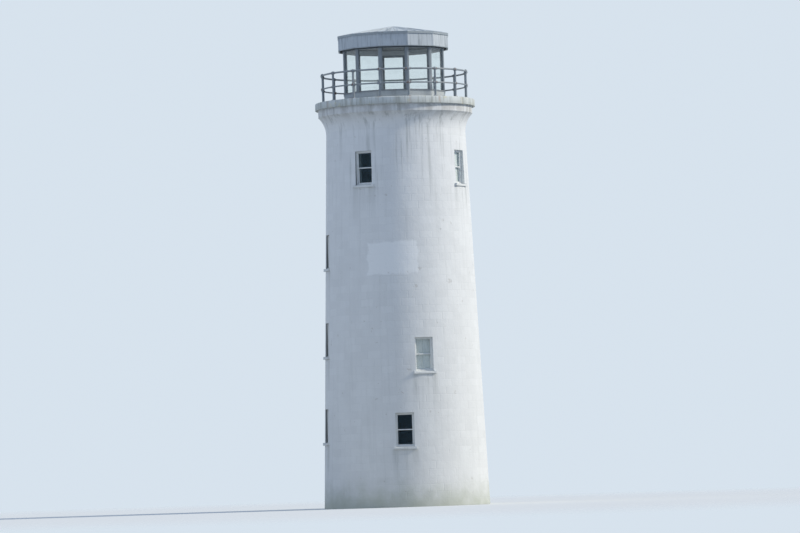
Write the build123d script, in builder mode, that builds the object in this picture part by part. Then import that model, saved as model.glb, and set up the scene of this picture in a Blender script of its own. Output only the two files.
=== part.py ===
from build123d import *
import os
from math import cos, degrees, radians, sin

# A round masonry lighthouse tower with a gallery and a twelve-sided lantern room
# Millimetres and degrees; a bearing runs from the front, -Y, towards the right side, +X

# Shaft and storeys
room_radius = 2350
base_wall_thickness = 1030
top_wall_thickness = 500
ground_floor_level = 450
ground_storey_height = 4450
first_storey_height = 3550
second_storey_height = 3550
watch_room_height = 4250
floor_thickness = 200
floor_bearing_width = 150
bed_gap = 3
fit_gap = 0.3

# Cornice and gallery
cove_height = 770
cove_projection = 300
bed_mould_height = 280
deck_overhang = 120
deck_thickness = 300
deck_arris_width = 20
rail_inset = 290
rail_height = 1120
rail_post_count = 16
rail_post_radius = 44
rail_foot_radius = 95
rail_foot_thickness = 18
rail_ball_radius = 72
rail_collar_radius = 52
rail_collar_length = 190
top_rail_radius = 36
mid_rail_radius = 30

# Sash windows
window_width = 750
window_height = 1360
window_setback = 110
frame_face = 45
frame_depth = 120
sash_face = 42
sash_thickness = 38
pane_thickness = 6
window_sill_thickness = 110
window_sill_projection = 55
window_sill_horn_length = 90
ground_front_sill_height = 1980
ground_left_sill_height = 2240
first_front_sill_height = 550
first_side_sill_height = 1290
second_side_sill_height = 1330
watch_sill_height = 1050

# Entrance at the back
door_bearing = 180
door_width = 1000
door_height = 2150
door_setback = 260
door_frame_face = 70
door_frame_depth = 130
door_leaf_thickness = 50
door_panel_margin = 110
door_panel_recess = 14
door_panel_rows = 3
door_knob_height = 1020
door_knob_radius = 32
door_knob_reach = 70
door_rose_radius = 42
door_rose_thickness = 8
door_knob_inset = 65
hinge_count = 3
hinge_length = 130
hinge_leaf_width = 60
hinge_leaf_thickness = 5
step_count = 2
step_tread = 320
step_width = 1500
step_bedding = 200

# Lantern room
lantern_sides = 12
lantern_corner_radius = 2130
lantern_wall_thickness = 150
lantern_wall_height = 310
lantern_sill_thickness = 40
lantern_sill_lip = 22
lantern_glass_height = 1720
lantern_glass_thickness = 12
lantern_glass_inset = 45
lantern_head_height = 180
lantern_head_depth = 140
lantern_post_face = 85
lantern_post_depth = 130
lantern_door_rail = 70
lantern_door_kick = 380
lantern_door_thickness = 45

# Roof
eaves_overhang = 180
roof_rise = 380
roof_thickness = 40
roof_cap_radius = 110
fascia_height = 600
fascia_drop = 150
fascia_thickness = 45
ceiling_thickness = 40
roof_edge_height = 80
roof_edge_projection = 30

# Floor levels are the tops of the floors, and walls stand on the storey below
first_floor_level = ground_floor_level + ground_storey_height
second_floor_level = first_floor_level + first_storey_height
watch_floor_level = second_floor_level + second_storey_height
deck_underside = watch_floor_level + watch_room_height
deck_top = deck_underside + deck_thickness
cornice_foot = deck_underside - bed_mould_height - cove_height
shaft_base_radius = room_radius + base_wall_thickness
shaft_top_radius = room_radius + top_wall_thickness
batter = (shaft_base_radius - shaft_top_radius) / cornice_foot
floor_radius = room_radius + floor_bearing_width
bed_mould_radius = shaft_top_radius + cove_projection
deck_radius = bed_mould_radius + deck_overhang

# Each storey's wall: name, underside, floor level, top
storeys = [
    ("ground", 0, ground_floor_level, first_floor_level - floor_thickness),
    ("first_floor", first_floor_level - floor_thickness, first_floor_level,
     second_floor_level - floor_thickness),
    ("second_floor", second_floor_level - floor_thickness, second_floor_level,
     watch_floor_level - floor_thickness),
    ("watch_room", watch_floor_level - floor_thickness, watch_floor_level, cornice_foot),
]
sides = {"front": 0, "right": 90, "back": 180, "left": 270}
side_arc = 360 / len(sides)

# Each window: its storey, its bearing and the height of its sill above that storey's floor
windows = [
    ("ground", 0, ground_front_sill_height),
    ("ground", 281, ground_left_sill_height),
    ("first_floor", 16, first_front_sill_height),
    ("first_floor", 281, first_side_sill_height),
    ("first_floor", 180, first_side_sill_height),
    ("second_floor", 281, second_side_sill_height),
    ("second_floor", 180, second_side_sill_height),
    ("watch_room", 332, watch_sill_height),
    ("watch_room", 62, watch_sill_height),
    ("watch_room", 152, watch_sill_height),
    ("watch_room", 242, watch_sill_height),
]


def shaft_radius(height):
    """Outer radius of the battered shaft at a height."""
    return shaft_base_radius - batter * height


def radial_plane(bearing):
    """Upright plane through the axis, with its x direction pointing out at a bearing."""
    angle = radians(bearing - 90)
    return Plane(origin=(0, 0, 0), x_dir=(cos(angle), sin(angle), 0), z_dir=(sin(angle), -cos(angle), 0))


def facing_plane(bearing, radius, height):
    """Upright plane that faces out from the tower at a bearing, radius and height."""
    angle = radians(bearing - 90)
    origin = (radius * cos(angle), radius * sin(angle), height)
    return Plane(origin=origin, x_dir=(-sin(angle), cos(angle), 0), z_dir=(cos(angle), sin(angle), 0))


def save(builder, name):
    """Label a finished piece and write its file."""
    builder.part.label = name
    export_step(builder.part, f"parts/{name}.step")


def window_sill_level(storey_name, sill_height):
    """Height of a window's sill above the ground."""
    floor_level = {name: level for name, _, level, _ in storeys}[storey_name]
    return floor_level + sill_height


def window_plane(storey_name, bearing, sill_height):
    """Plane of a window frame's outer face, at the middle of the window."""
    sill_level = window_sill_level(storey_name, sill_height)
    radius = shaft_radius(sill_level + window_height) - window_setback
    return facing_plane(bearing, radius, sill_level + window_height / 2)


def sill_plane(storey_name, bearing, sill_height):
    """Plane of a stone sill's outer face, at the middle of its height."""
    sill_level = window_sill_level(storey_name, sill_height)
    radius = shaft_radius(sill_level) + window_sill_projection
    return facing_plane(bearing, radius, sill_level - window_sill_thickness / 2)


def on_side(bearing, side_bearing):
    """Whether a bearing lies in the quarter of the wall that faces a side."""
    turn = (bearing - side_bearing + 180) % 360 - 180
    return abs(turn) < side_arc / 2


os.makedirs("parts", exist_ok=True)
window_planes = [window_plane(*window) for window in windows]
sill_planes = [sill_plane(*window) for window in windows]
window_sill_width = window_width + 2 * window_sill_horn_length
window_sill_depth = window_sill_projection + window_setback + batter * window_height + frame_depth / 2
wall_reach = shaft_base_radius - room_radius / 2

# Entrance levels
step_rise = ground_floor_level / (step_count + 1)
steps_height = step_rise * step_count
door_radius = shaft_radius(ground_floor_level + door_height) - door_setback
door_plane = facing_plane(door_bearing, door_radius, ground_floor_level + door_height / 2)
step_plane = facing_plane(door_bearing, shaft_base_radius - step_bedding, 0)

# Shaft walls, in four quarters to a storey, with openings for windows, sills, door and steps
for storey_name, underside, floor_level, top in storeys:
    for side_name, side_bearing in sides.items():
        with BuildPart() as wall:
            with BuildSketch(radial_plane(side_bearing - side_arc / 2)):
                with BuildLine():
                    Polyline(
                        (room_radius, top),
                        (shaft_radius(top), top),
                        (shaft_radius(underside), underside),
                        (floor_radius + bed_gap, underside),
                        (floor_radius + bed_gap, floor_level),
                        (room_radius, floor_level),
                        close=True,
                    )
                make_face()
            revolve(axis=Axis.Z, revolution_arc=side_arc)
            for window in windows:
                if window[0] == storey_name and on_side(window[1], side_bearing):
                    with BuildSketch(window_plane(*window)):
                        Rectangle(window_width, window_height)
                    extrude(amount=wall_reach, both=True, mode=Mode.SUBTRACT)
                    with BuildSketch(sill_plane(*window)):
                        Rectangle(window_sill_width, window_sill_thickness)
                    extrude(amount=-window_sill_depth, mode=Mode.SUBTRACT)
            if storey_name == "ground" and on_side(door_bearing, side_bearing):
                with BuildSketch(door_plane):
                    Rectangle(door_width, door_height)
                extrude(amount=wall_reach, both=True, mode=Mode.SUBTRACT)
                with BuildSketch(step_plane):
                    Rectangle(step_width, 2 * steps_height)
                extrude(amount=wall_reach, mode=Mode.SUBTRACT)
        save(wall, f"{storey_name}_wall_{side_name}")

# Floors, each bedded between the wall below and the wall above
floors = {
    "ground_floor": (0, ground_floor_level),
    "first_floor": (first_floor_level - floor_thickness, first_floor_level),
    "second_floor": (second_floor_level - floor_thickness, second_floor_level),
    "watch_room_floor": (watch_floor_level - floor_thickness, watch_floor_level),
}
for floor_name, (underside, level) in floors.items():
    with BuildPart() as floor:
        with BuildSketch(Plane.XY.offset(underside)):
            Circle(floor_radius)
        extrude(amount=level - underside)
    save(floor, floor_name)

# Cornice: a concave cove that carries the gallery out, under a plain bed mould
cornice_pairs = {
    "cornice_front_and_back": ("front", "back"),
    "cornice_left_and_right": ("left", "right"),
}
for cornice_name, pair in cornice_pairs.items():
    with BuildPart() as cornice:
        for side_name in pair:
            with BuildSketch(radial_plane(sides[side_name] - side_arc / 2)):
                with BuildLine():
                    cove = TangentArc(
                        (shaft_top_radius, cornice_foot),
                        (bed_mould_radius, cornice_foot + cove_height),
                        tangent=(-batter, 1),
                    )
                    Polyline(
                        cove @ 1,
                        (bed_mould_radius, deck_underside),
                        (room_radius, deck_underside),
                        (room_radius, cornice_foot),
                        cove @ 0,
                    )
                make_face()
            revolve(axis=Axis.Z, revolution_arc=side_arc)
    save(cornice, cornice_name)

# Gallery deck, one slab that is also the lantern room's floor
with BuildPart() as gallery_deck:
    with BuildSketch(Plane.XY.offset(deck_underside)):
        Circle(deck_radius)
    extrude(amount=deck_thickness)
    chamfer(gallery_deck.edges().group_by(Axis.Z)[-1], length=deck_arris_width)
save(gallery_deck, "gallery_deck")

# Gallery railing: ball-jointed posts that carry a top rail and a middle rail
rail_circle = deck_radius - rail_inset
post_pitch = 360 / rail_post_count
collar_arc = degrees(rail_collar_length / rail_circle)
rail_levels = {
    "gallery_top_rail": (deck_top + rail_height, top_rail_radius),
    "gallery_middle_rail": (deck_top + rail_height / 2, mid_rail_radius),
}
post_turns = PolarLocations(0, rail_post_count, start_angle=post_pitch / 2)

with BuildPart() as rail_post:
    with BuildSketch(Plane.XY.offset(deck_top)):
        with Locations((0, -rail_circle)):
            Circle(rail_foot_radius)
    extrude(amount=rail_foot_thickness)
    with BuildSketch(Plane.XY.offset(deck_top)):
        with Locations((0, -rail_circle)):
            Circle(rail_post_radius)
    extrude(amount=rail_height)
    for level, _ in rail_levels.values():
        with BuildSketch(radial_plane(-collar_arc / 2)):
            with Locations((rail_circle, level)):
                Circle(rail_collar_radius)
        revolve(axis=Axis.Z, revolution_arc=collar_arc)
        with Locations((0, -rail_circle, level)):
            Sphere(rail_ball_radius)

with BuildPart() as gallery_posts:
    with post_turns:
        add(rail_post.part)
save(gallery_posts, "gallery_posts")

for rail_name, (level, rail_radius) in rail_levels.items():
    with BuildPart() as rail_length:
        with BuildSketch(radial_plane(collar_arc / 2)):
            with Locations((rail_circle, level)):
                Circle(rail_radius)
        revolve(axis=Axis.Z, revolution_arc=post_pitch - collar_arc)
    with BuildPart() as gallery_rail:
        with post_turns:
            add(rail_length.part)
    save(gallery_rail, rail_name)

# Stone window sills, let into the wall under each window
with BuildPart() as window_sills:
    with BuildSketch(*sill_planes):
        Rectangle(window_sill_width, window_sill_thickness)
    extrude(amount=-window_sill_depth)
save(window_sills, "window_sills")

# Sash windows: a box frame, an outer upper sash and an inner lower sash that meet at mid height
sash_space_width = window_width - 2 * frame_face
sash_space_height = window_height - 2 * frame_face
sash_width = sash_space_width - 2 * fit_gap
sash_height = (sash_space_height + sash_face) / 2 - fit_gap
sash_lift = (sash_space_height - sash_face) / 4 - fit_gap / 2
upper_sash_inset = (frame_depth - 2 * sash_thickness) / 2
sash_insets = {"upper_sashes": upper_sash_inset, "lower_sashes": upper_sash_inset + sash_thickness}
sash_centres = {"upper_sashes": sash_lift, "lower_sashes": -sash_lift}

with BuildPart() as window_frames:
    with BuildSketch(*window_planes):
        Rectangle(window_width, window_height)
        Rectangle(sash_space_width, sash_space_height, mode=Mode.SUBTRACT)
    extrude(amount=-frame_depth)
save(window_frames, "window_frames")

for sash_name, inset in sash_insets.items():
    with BuildPart() as sashes:
        with BuildSketch(*[plane.offset(-inset) for plane in window_planes]):
            with Locations((0, sash_centres[sash_name])):
                Rectangle(sash_width, sash_height)
                Rectangle(sash_width - 2 * sash_face, sash_height - 2 * sash_face, mode=Mode.SUBTRACT)
        extrude(amount=-sash_thickness)
    save(sashes, sash_name)

with BuildPart() as window_panes:
    for sash_name, inset in sash_insets.items():
        glass_inset = inset + (sash_thickness - pane_thickness) / 2
        with BuildSketch(*[plane.offset(-glass_inset) for plane in window_planes]):
            with Locations((0, sash_centres[sash_name])):
                Rectangle(sash_width - 2 * (sash_face + fit_gap), sash_height - 2 * (sash_face + fit_gap))
        extrude(amount=-pane_thickness)
save(window_panes, "window_panes")

# Entrance door: frame, panelled leaf, furniture and stone steps
door_space_width = door_width - 2 * door_frame_face
door_space_height = door_height - door_frame_face
leaf_width = door_space_width - 2 * fit_gap
leaf_height = door_space_height - 2 * fit_gap
leaf_plane = door_plane.offset((door_leaf_thickness - door_frame_depth) / 2)
panel_width = leaf_width - 2 * door_panel_margin
panel_pitch = (leaf_height - door_panel_margin) / door_panel_rows

with BuildPart() as entrance_door_frame:
    with BuildSketch(door_plane):
        Rectangle(door_width, door_height)
        with Locations((0, -door_frame_face / 2)):
            Rectangle(door_space_width, door_space_height, mode=Mode.SUBTRACT)
    extrude(amount=-door_frame_depth)
save(entrance_door_frame, "entrance_door_frame")

with BuildPart() as entrance_door:
    with BuildSketch(leaf_plane):
        with Locations((0, -door_frame_face / 2)):
            Rectangle(leaf_width, leaf_height)
    extrude(amount=-door_leaf_thickness)
    with BuildSketch(leaf_plane):
        with Locations((0, -door_frame_face / 2)):
            with GridLocations(0, panel_pitch, 1, door_panel_rows):
                Rectangle(panel_width, panel_pitch - door_panel_margin)
    extrude(amount=-door_panel_recess, mode=Mode.SUBTRACT)
save(entrance_door, "entrance_door")

knob_x = leaf_width / 2 - door_knob_inset
knob_y = door_knob_height - door_height / 2
hinge_x = -door_space_width / 2
hinge_pitch = door_space_height / hinge_count
with BuildPart() as door_furniture:
    with BuildSketch(leaf_plane):
        with Locations((knob_x, knob_y)):
            Circle(door_rose_radius)
    extrude(amount=door_rose_thickness)
    with BuildSketch(leaf_plane):
        with Locations((knob_x, knob_y)):
            Circle(door_knob_radius / 2)
    extrude(amount=door_knob_reach)
    with Locations(leaf_plane.offset(door_knob_reach)):
        with Locations((knob_x, knob_y, 0)):
            Sphere(door_knob_radius)
    with BuildSketch(leaf_plane):
        with Locations((hinge_x + fit_gap + hinge_leaf_width / 2, -door_frame_face / 2)):
            with GridLocations(0, hinge_pitch, 1, hinge_count):
                Rectangle(hinge_leaf_width, hinge_length)
    extrude(amount=hinge_leaf_thickness)
save(door_furniture, "door_furniture")

with BuildPart() as entrance_steps:
    for step in range(step_count):
        step_length = step_bedding + step_tread * (step_count - step)
        with BuildSketch(step_plane):
            with Locations((0, step_rise * (step + 0.5))):
                Rectangle(step_width, step_rise)
        extrude(amount=step_length)
save(entrance_steps, "entrance_steps")

# Lantern room: all its rings share one polygon, with a flat side towards the back for the door
half_bay = radians(180 / lantern_sides)
bay_angle = 360 / lantern_sides
polygon_turn = door_bearing - 90 + bay_angle / 2
lantern_apothem = lantern_corner_radius * cos(half_bay)
bay_width = 2 * (lantern_corner_radius * sin(half_bay) - lantern_post_face)
lantern_sill_level = deck_top + lantern_wall_height
glass_foot = lantern_sill_level + lantern_sill_thickness
glass_head = glass_foot + lantern_glass_height
ceiling_level = glass_head + lantern_head_height
glass_radius = lantern_apothem - lantern_glass_inset - lantern_glass_thickness / 2
lantern_door_height = glass_head - deck_top
bays = PolarLocations(lantern_apothem, lantern_sides, start_angle=door_bearing - 90)
lantern_door_plane = facing_plane(door_bearing, glass_radius + lantern_door_thickness / 2, deck_top)


def flat_ring(outer_apothem, inner_apothem):
    """Sketch a ring of the lantern's polygon between two distances from the axis."""
    RegularPolygon(outer_apothem, lantern_sides, major_radius=False, rotation=polygon_turn)
    RegularPolygon(
        inner_apothem, lantern_sides, major_radius=False, rotation=polygon_turn, mode=Mode.SUBTRACT
    )


def door_gap():
    """Cut the door's bay out of a ring."""
    with PolarLocations(lantern_apothem, 1, start_angle=door_bearing - 90):
        Rectangle(4 * lantern_wall_thickness, bay_width, mode=Mode.SUBTRACT)


with BuildPart() as lantern_base_wall:
    with BuildSketch(Plane.XY.offset(deck_top)):
        flat_ring(lantern_apothem, lantern_apothem - lantern_wall_thickness)
        door_gap()
    extrude(amount=lantern_wall_height)
save(lantern_base_wall, "lantern_base_wall")

with BuildPart() as lantern_sill:
    with BuildSketch(Plane.XY.offset(lantern_sill_level)):
        flat_ring(
            lantern_apothem + lantern_sill_lip,
            lantern_apothem - lantern_wall_thickness - lantern_sill_lip,
        )
        door_gap()
    extrude(amount=lantern_sill_thickness)
save(lantern_sill, "lantern_sill")

with BuildPart() as lantern_posts:
    with BuildSketch(Plane.XY.offset(glass_foot)):
        flat_ring(lantern_apothem, lantern_apothem - lantern_post_depth)
        with bays:
            Rectangle(4 * lantern_post_depth, bay_width, mode=Mode.SUBTRACT)
    extrude(amount=lantern_glass_height)
save(lantern_posts, "lantern_posts")

with BuildPart() as lantern_head:
    with BuildSketch(Plane.XY.offset(glass_head)):
        flat_ring(lantern_apothem, lantern_apothem - lantern_head_depth)
    extrude(amount=lantern_head_height)
save(lantern_head, "lantern_head")

with BuildPart() as lantern_door:
    door_panel_height = lantern_door_height - lantern_door_kick - lantern_door_rail
    with BuildSketch(lantern_door_plane):
        with Locations((0, lantern_door_height / 2)):
            Rectangle(bay_width - 2 * fit_gap, lantern_door_height - 2 * fit_gap)
        with Locations((0, lantern_door_kick + door_panel_height / 2)):
            Rectangle(bay_width - 2 * lantern_door_rail, door_panel_height, mode=Mode.SUBTRACT)
    extrude(amount=-lantern_door_thickness)
save(lantern_door, "lantern_door")

with BuildPart() as lantern_panes:
    with BuildSketch(Plane.XY.offset(glass_foot + fit_gap)):
        with PolarLocations(
            glass_radius,
            lantern_sides - 1,
            start_angle=door_bearing - 90 + bay_angle,
            angular_range=360 - 2 * bay_angle,
            endpoint=True,
        ):
            Rectangle(lantern_glass_thickness, bay_width - 2 * fit_gap)
    extrude(amount=lantern_glass_height - 2 * fit_gap)
    with BuildSketch(facing_plane(door_bearing, glass_radius + lantern_glass_thickness / 2, deck_top)):
        with Locations((0, lantern_door_kick + door_panel_height / 2)):
            Rectangle(bay_width - 2 * (lantern_door_rail + fit_gap), door_panel_height - 2 * fit_gap)
    extrude(amount=-lantern_glass_thickness)
save(lantern_panes, "lantern_panes")

# Roof: a flat ceiling inside a deep fascia, and a low pyramid of as many sides as the lantern
fascia_foot = ceiling_level - fascia_drop
eaves_level = fascia_foot + fascia_height
roof_corner_radius = lantern_corner_radius + eaves_overhang
roof_apothem = roof_corner_radius * cos(half_bay)
roof_spread = (roof_corner_radius - roof_cap_radius) / roof_rise

with BuildPart() as roof_ceiling:
    with BuildSketch(Plane.XY.offset(ceiling_level)):
        RegularPolygon(
            roof_apothem - fascia_thickness, lantern_sides, major_radius=False, rotation=polygon_turn
        )
    extrude(amount=ceiling_thickness)
save(roof_ceiling, "roof_ceiling")

with BuildPart() as roof_fascia:
    with BuildSketch(Plane.XY.offset(fascia_foot)):
        flat_ring(roof_apothem, roof_apothem - fascia_thickness)
    extrude(amount=fascia_height)
save(roof_fascia, "roof_fascia")

with BuildPart() as roof_edge:
    with BuildSketch(Plane.XY.offset(eaves_level - roof_edge_height)):
        flat_ring(roof_apothem + roof_edge_projection, roof_apothem)
    extrude(amount=roof_edge_height)
save(roof_edge, "roof_edge")

with BuildPart() as roof_covering:
    with BuildSketch(Plane.XY.offset(eaves_level)):
        RegularPolygon(roof_corner_radius, lantern_sides, rotation=polygon_turn)
    with BuildSketch(Plane.XY.offset(eaves_level + roof_rise)):
        RegularPolygon(roof_cap_radius, lantern_sides, rotation=polygon_turn)
    loft(ruled=True)
    with BuildSketch(Plane.XY.offset(eaves_level)):
        RegularPolygon(
            roof_corner_radius - roof_thickness * roof_spread, lantern_sides, rotation=polygon_turn
        )
    with BuildSketch(Plane.XY.offset(eaves_level + roof_rise - roof_thickness)):
        RegularPolygon(roof_cap_radius, lantern_sides, rotation=polygon_turn)
    loft(ruled=True, mode=Mode.SUBTRACT)
save(roof_covering, "roof_covering")
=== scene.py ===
"""Round masonry lighthouse tower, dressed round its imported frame.

Metres throughout. A bearing runs from the tower's front, -Y, towards its right side, +X.
"""

import logging
import math
from dataclasses import dataclass, field
from enum import Enum
from functools import cache, cached_property
from typing import Optional, Sequence, Union

import bmesh
import bpy
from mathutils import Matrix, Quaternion, Vector


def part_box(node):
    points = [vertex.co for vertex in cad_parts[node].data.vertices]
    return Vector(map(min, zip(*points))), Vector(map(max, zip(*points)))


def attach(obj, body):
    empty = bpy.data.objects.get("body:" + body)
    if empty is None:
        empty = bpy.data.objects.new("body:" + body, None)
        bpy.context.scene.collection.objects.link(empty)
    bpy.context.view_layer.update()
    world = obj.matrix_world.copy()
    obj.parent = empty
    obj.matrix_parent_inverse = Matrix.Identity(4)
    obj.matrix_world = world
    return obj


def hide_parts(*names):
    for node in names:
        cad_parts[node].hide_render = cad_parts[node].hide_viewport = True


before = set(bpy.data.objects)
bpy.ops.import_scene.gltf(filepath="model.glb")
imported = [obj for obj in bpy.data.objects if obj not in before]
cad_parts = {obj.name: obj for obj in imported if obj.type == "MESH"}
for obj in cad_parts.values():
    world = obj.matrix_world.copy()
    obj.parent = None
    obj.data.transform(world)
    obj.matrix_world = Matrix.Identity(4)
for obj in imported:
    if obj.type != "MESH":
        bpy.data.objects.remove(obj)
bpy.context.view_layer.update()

LOG = logging.getLogger("lighthouse")
BODY = "root"
DECK_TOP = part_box("gallery_deck")[1].z
LANTERN_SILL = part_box("lantern_sill")[1].z
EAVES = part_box("roof_covering")[0].z
RAIL_LEVELS = tuple(
    (low.z + high.z) / 2 for low, high in map(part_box, ("gallery_middle_rail", "gallery_top_rail"))
)
WELD = 1e-5
UP = Vector((0.0, 0.0, 1.0))
CORNERS = ((-1, -1), (1, -1), (1, 1), (-1, 1))

Colour = tuple[float, float, float]
Ring = list[Vector]
Section = Sequence[tuple[float, float]]
Span = tuple[float, float]
Socket = bpy.types.NodeSocket
Value = Union[float, Socket]
Tint = Union[Colour, Socket]


def outward(bearing: float) -> Vector:
    """Level direction out from the tower at a bearing in radians."""
    return Vector((math.sin(bearing), -math.cos(bearing), 0.0))


def sideways(bearing: float) -> Vector:
    """Level direction to the right, for someone who faces the tower at a bearing."""
    return Vector((math.cos(bearing), math.sin(bearing), 0.0))


def circle(
    centre: Vector, first: Vector, second: Vector, radius: float, sides: int, turn: float = 0.0
) -> Ring:
    """Draw a circle of points.

    Args:
        centre: The circle's middle.
        first: Direction of its first point.
        second: Direction of the point a quarter turn on.
        radius: Its radius.
        sides: How many points it has.
        turn: Angle that the points are turned by, in radians.

    Returns:
        The points.
    """
    angles = [turn + math.tau * index / sides for index in range(sides)]
    return [centre + (first * math.cos(a) + second * math.sin(a)) * radius for a in angles]


@dataclass(frozen=True)
class Place:
    """A spot on the tower that faces outward: bearing in radians, distance from the axis, height."""

    bearing: float
    radius: float
    height: float

    def at(self, across: float, inward: float, up: float) -> Vector:
        """Find a point from this place.

        Args:
            across: Distance to the right, seen from outside.
            inward: Distance towards the tower's axis.
            up: Distance upward.

        Returns:
            The point in the tower's frame.
        """
        level = outward(self.bearing) * (self.radius - inward) + sideways(self.bearing) * across
        return level + UP * (self.height + up)

    def moved(self, inward: float = 0.0, up: float = 0.0) -> "Place":
        """Return the place that lies further in or up from this one."""
        return Place(self.bearing, self.radius - inward, self.height + up)


@dataclass(frozen=True)
class Solid:
    """One solid of a CAD node: where its outer face stands and how large it is."""

    place: Place
    width: float
    depth: float
    height: float

    @classmethod
    def around(cls, points: Sequence[Vector]) -> "Solid":
        """Measure the solid that has these corner points.

        Args:
            points: The solid's corner points.

        Returns:
            The solid, placed at the middle of its outer face.
        """
        middle = sum(points, Vector()) / len(points)
        bearing = math.atan2(middle.x, -middle.y)
        across = [point.dot(sideways(bearing)) for point in points]
        out = [point.dot(outward(bearing)) for point in points]
        levels = [point.z for point in points]
        place = Place(bearing, max(out), (max(levels) + min(levels)) / 2)
        return cls(
            place, max(across) - min(across), max(out) - min(out), max(levels) - min(levels)
        )


def solids_of(node: str) -> list[Solid]:
    """Split a CAD node into its separate solids.

    Args:
        node: The node's name.

    Returns:
        Its solids, in the order of their first corners.
    """
    mesh = bmesh.new()
    mesh.from_mesh(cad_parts[node].data)
    bmesh.ops.remove_doubles(mesh, verts=mesh.verts, dist=WELD)
    found: list[Solid] = []
    seen: set[bmesh.types.BMVert] = set()
    for start in mesh.verts:
        if start in seen:
            continue
        seen.add(start)
        island = [start]
        for corner in island:
            for edge in corner.link_edges:
                other = edge.other_vert(corner)
                if other not in seen:
                    seen.add(other)
                    island.append(other)
        found.append(Solid.around([corner.co.copy() for corner in island]))
    mesh.free()
    return found


class Graph:
    """A node tree, with short ways to add and join its nodes."""

    def __init__(self, owner: bpy.types.ID, output: str = "ShaderNodeOutputMaterial") -> None:
        """Empty a tree and give it its output.

        Args:
            owner: The material or world that the tree belongs to.
            output: The output node's type.
        """
        owner.use_nodes = True
        self.tree = owner.node_tree
        self.tree.nodes.clear()
        self.output = self.tree.nodes.new(output)

    @cached_property
    def position(self) -> Socket:
        """The socket of the tower's coordinates."""
        return self.node("ShaderNodeTexCoord").outputs["Object"]

    @cached_property
    def axes(self) -> tuple[Socket, ...]:
        """The sockets of the tower's coordinates one by one."""
        return tuple(self.node("ShaderNodeSeparateXYZ", {0: self.position}).outputs)

    @property
    def x(self) -> Socket:
        """The socket of the distance to the tower's right."""
        return self.axes[0]

    @property
    def y(self) -> Socket:
        """The socket of the distance to the tower's back."""
        return self.axes[1]

    @property
    def z(self) -> Socket:
        """The socket of the height above the ground."""
        return self.axes[2]

    def node(self, kind: str, inputs: Optional[dict] = None, **settings: object) -> bpy.types.Node:
        """Add a node.

        Args:
            kind: The node's type.
            inputs: Sockets or plain values for its inputs, by name or number.
            **settings: The node's own settings.

        Returns:
            The new node.
        """
        made = self.tree.nodes.new(kind)
        for name, value in settings.items():
            setattr(made, name, value)
        for key, value in (inputs or {}).items():
            if isinstance(value, bpy.types.NodeSocket):
                self.tree.links.new(value, made.inputs[key])
            else:
                made.inputs[key].default_value = value
        return made

    def calc(self, work: str, first: Value, second: Value = 0.0, third: Value = 0.0) -> Socket:
        """Join a Math node.

        Args:
            work: The operation.
            first: First value or socket.
            second: Second value or socket.
            third: Third value or socket.

        Returns:
            The result's socket.
        """
        inputs = {0: first, 1: second, 2: third}
        return self.node("ShaderNodeMath", inputs, operation=work).outputs[0]

    def plus(self, first: Value, second: Value) -> Socket:
        """Return the socket of two values' sum."""
        return self.calc("ADD", first, second)

    def minus(self, first: Value, second: Value) -> Socket:
        """Return the socket of the first value less the second."""
        return self.calc("SUBTRACT", first, second)

    def times(self, first: Value, second: Value) -> Socket:
        """Return the socket of two values' product."""
        return self.calc("MULTIPLY", first, second)

    def scaled(self, value: Value, factor: Value, offset: Value) -> Socket:
        """Return the socket of a value times a factor, plus an offset."""
        return self.calc("MULTIPLY_ADD", value, factor, offset)

    def vector(self, x: Value, y: Value = 0.0, z: Value = 0.0) -> Socket:
        """Return the socket of a vector of three values."""
        return self.node("ShaderNodeCombineXYZ", {0: x, 1: y, 2: z}).outputs[0]

    def length(self, vector: Socket) -> Socket:
        """Return the socket of a vector's length."""
        return self.node("ShaderNodeVectorMath", {0: vector}, operation="LENGTH").outputs[1]

    def bearing(self) -> Socket:
        """Return a socket with the bearing of each point in radians."""
        return self.calc("ARCTAN2", self.x, self.times(self.y, -1.0))

    def from_axis(self) -> Socket:
        """Return a socket with the level distance of each point from the tower's axis."""
        return self.length(self.vector(self.x, self.y))

    def wave(self, count: int) -> Socket:
        """Return a socket that swings between 1 and -1 so many times round the tower."""
        return self.calc("COSINE", self.times(self.bearing(), float(count)))

    def band(
        self, value: Socket, low: float, high: float, floor: float = 0.0, top: float = 1.0
    ) -> Socket:
        """Ease a value from floor to top as it goes from low to high.

        Args:
            value: The socket to ease.
            low: Where the easing starts.
            high: Where it ends.
            floor: The result at low.
            top: The result at high.

        Returns:
            The eased socket.
        """
        inputs = {"Value": value, "From Min": low, "From Max": high, "To Min": floor, "To Max": top}
        return self.node("ShaderNodeMapRange", inputs, interpolation_type="SMOOTHSTEP").outputs[0]

    def moved(self, shift: float, stretch: tuple[float, float, float] = (1.0, 1.0, 1.0)) -> Socket:
        """Return the tower's coordinates, stretched and moved by a shift on all axes."""
        inputs = {"Vector": self.position, "Location": (shift, shift, shift), "Scale": stretch}
        return self.node("ShaderNodeMapping", inputs).outputs[0]

    def noise(
        self,
        scale: float,
        detail: float = 4.0,
        stretch: tuple[float, float, float] = (1.0, 1.0, 1.0),
        shift: float = 0.0,
    ) -> Socket:
        """Join a noise texture on the tower's coordinates.

        Args:
            scale: Features to a metre.
            detail: Octaves.
            stretch: Factors on the three axes, small ones drawing the noise out.
            shift: Offset that gives each use its own pattern.

        Returns:
            The noise's socket, about 0.5 on average.
        """
        vector = self.moved(shift, stretch)
        inputs = {"Vector": vector, "Scale": scale, "Detail": detail, "Roughness": 0.58}
        return self.node("ShaderNodeTexNoise", inputs).outputs[0]

    def vary(
        self, scale: float, spread: float, low: float, detail: float = 4.0, shift: float = 0.0
    ) -> Socket:
        """Return the socket of a noise that spreads over some values from a lowest one."""
        return self.scaled(self.noise(scale, detail, shift=shift), spread, low)

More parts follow.
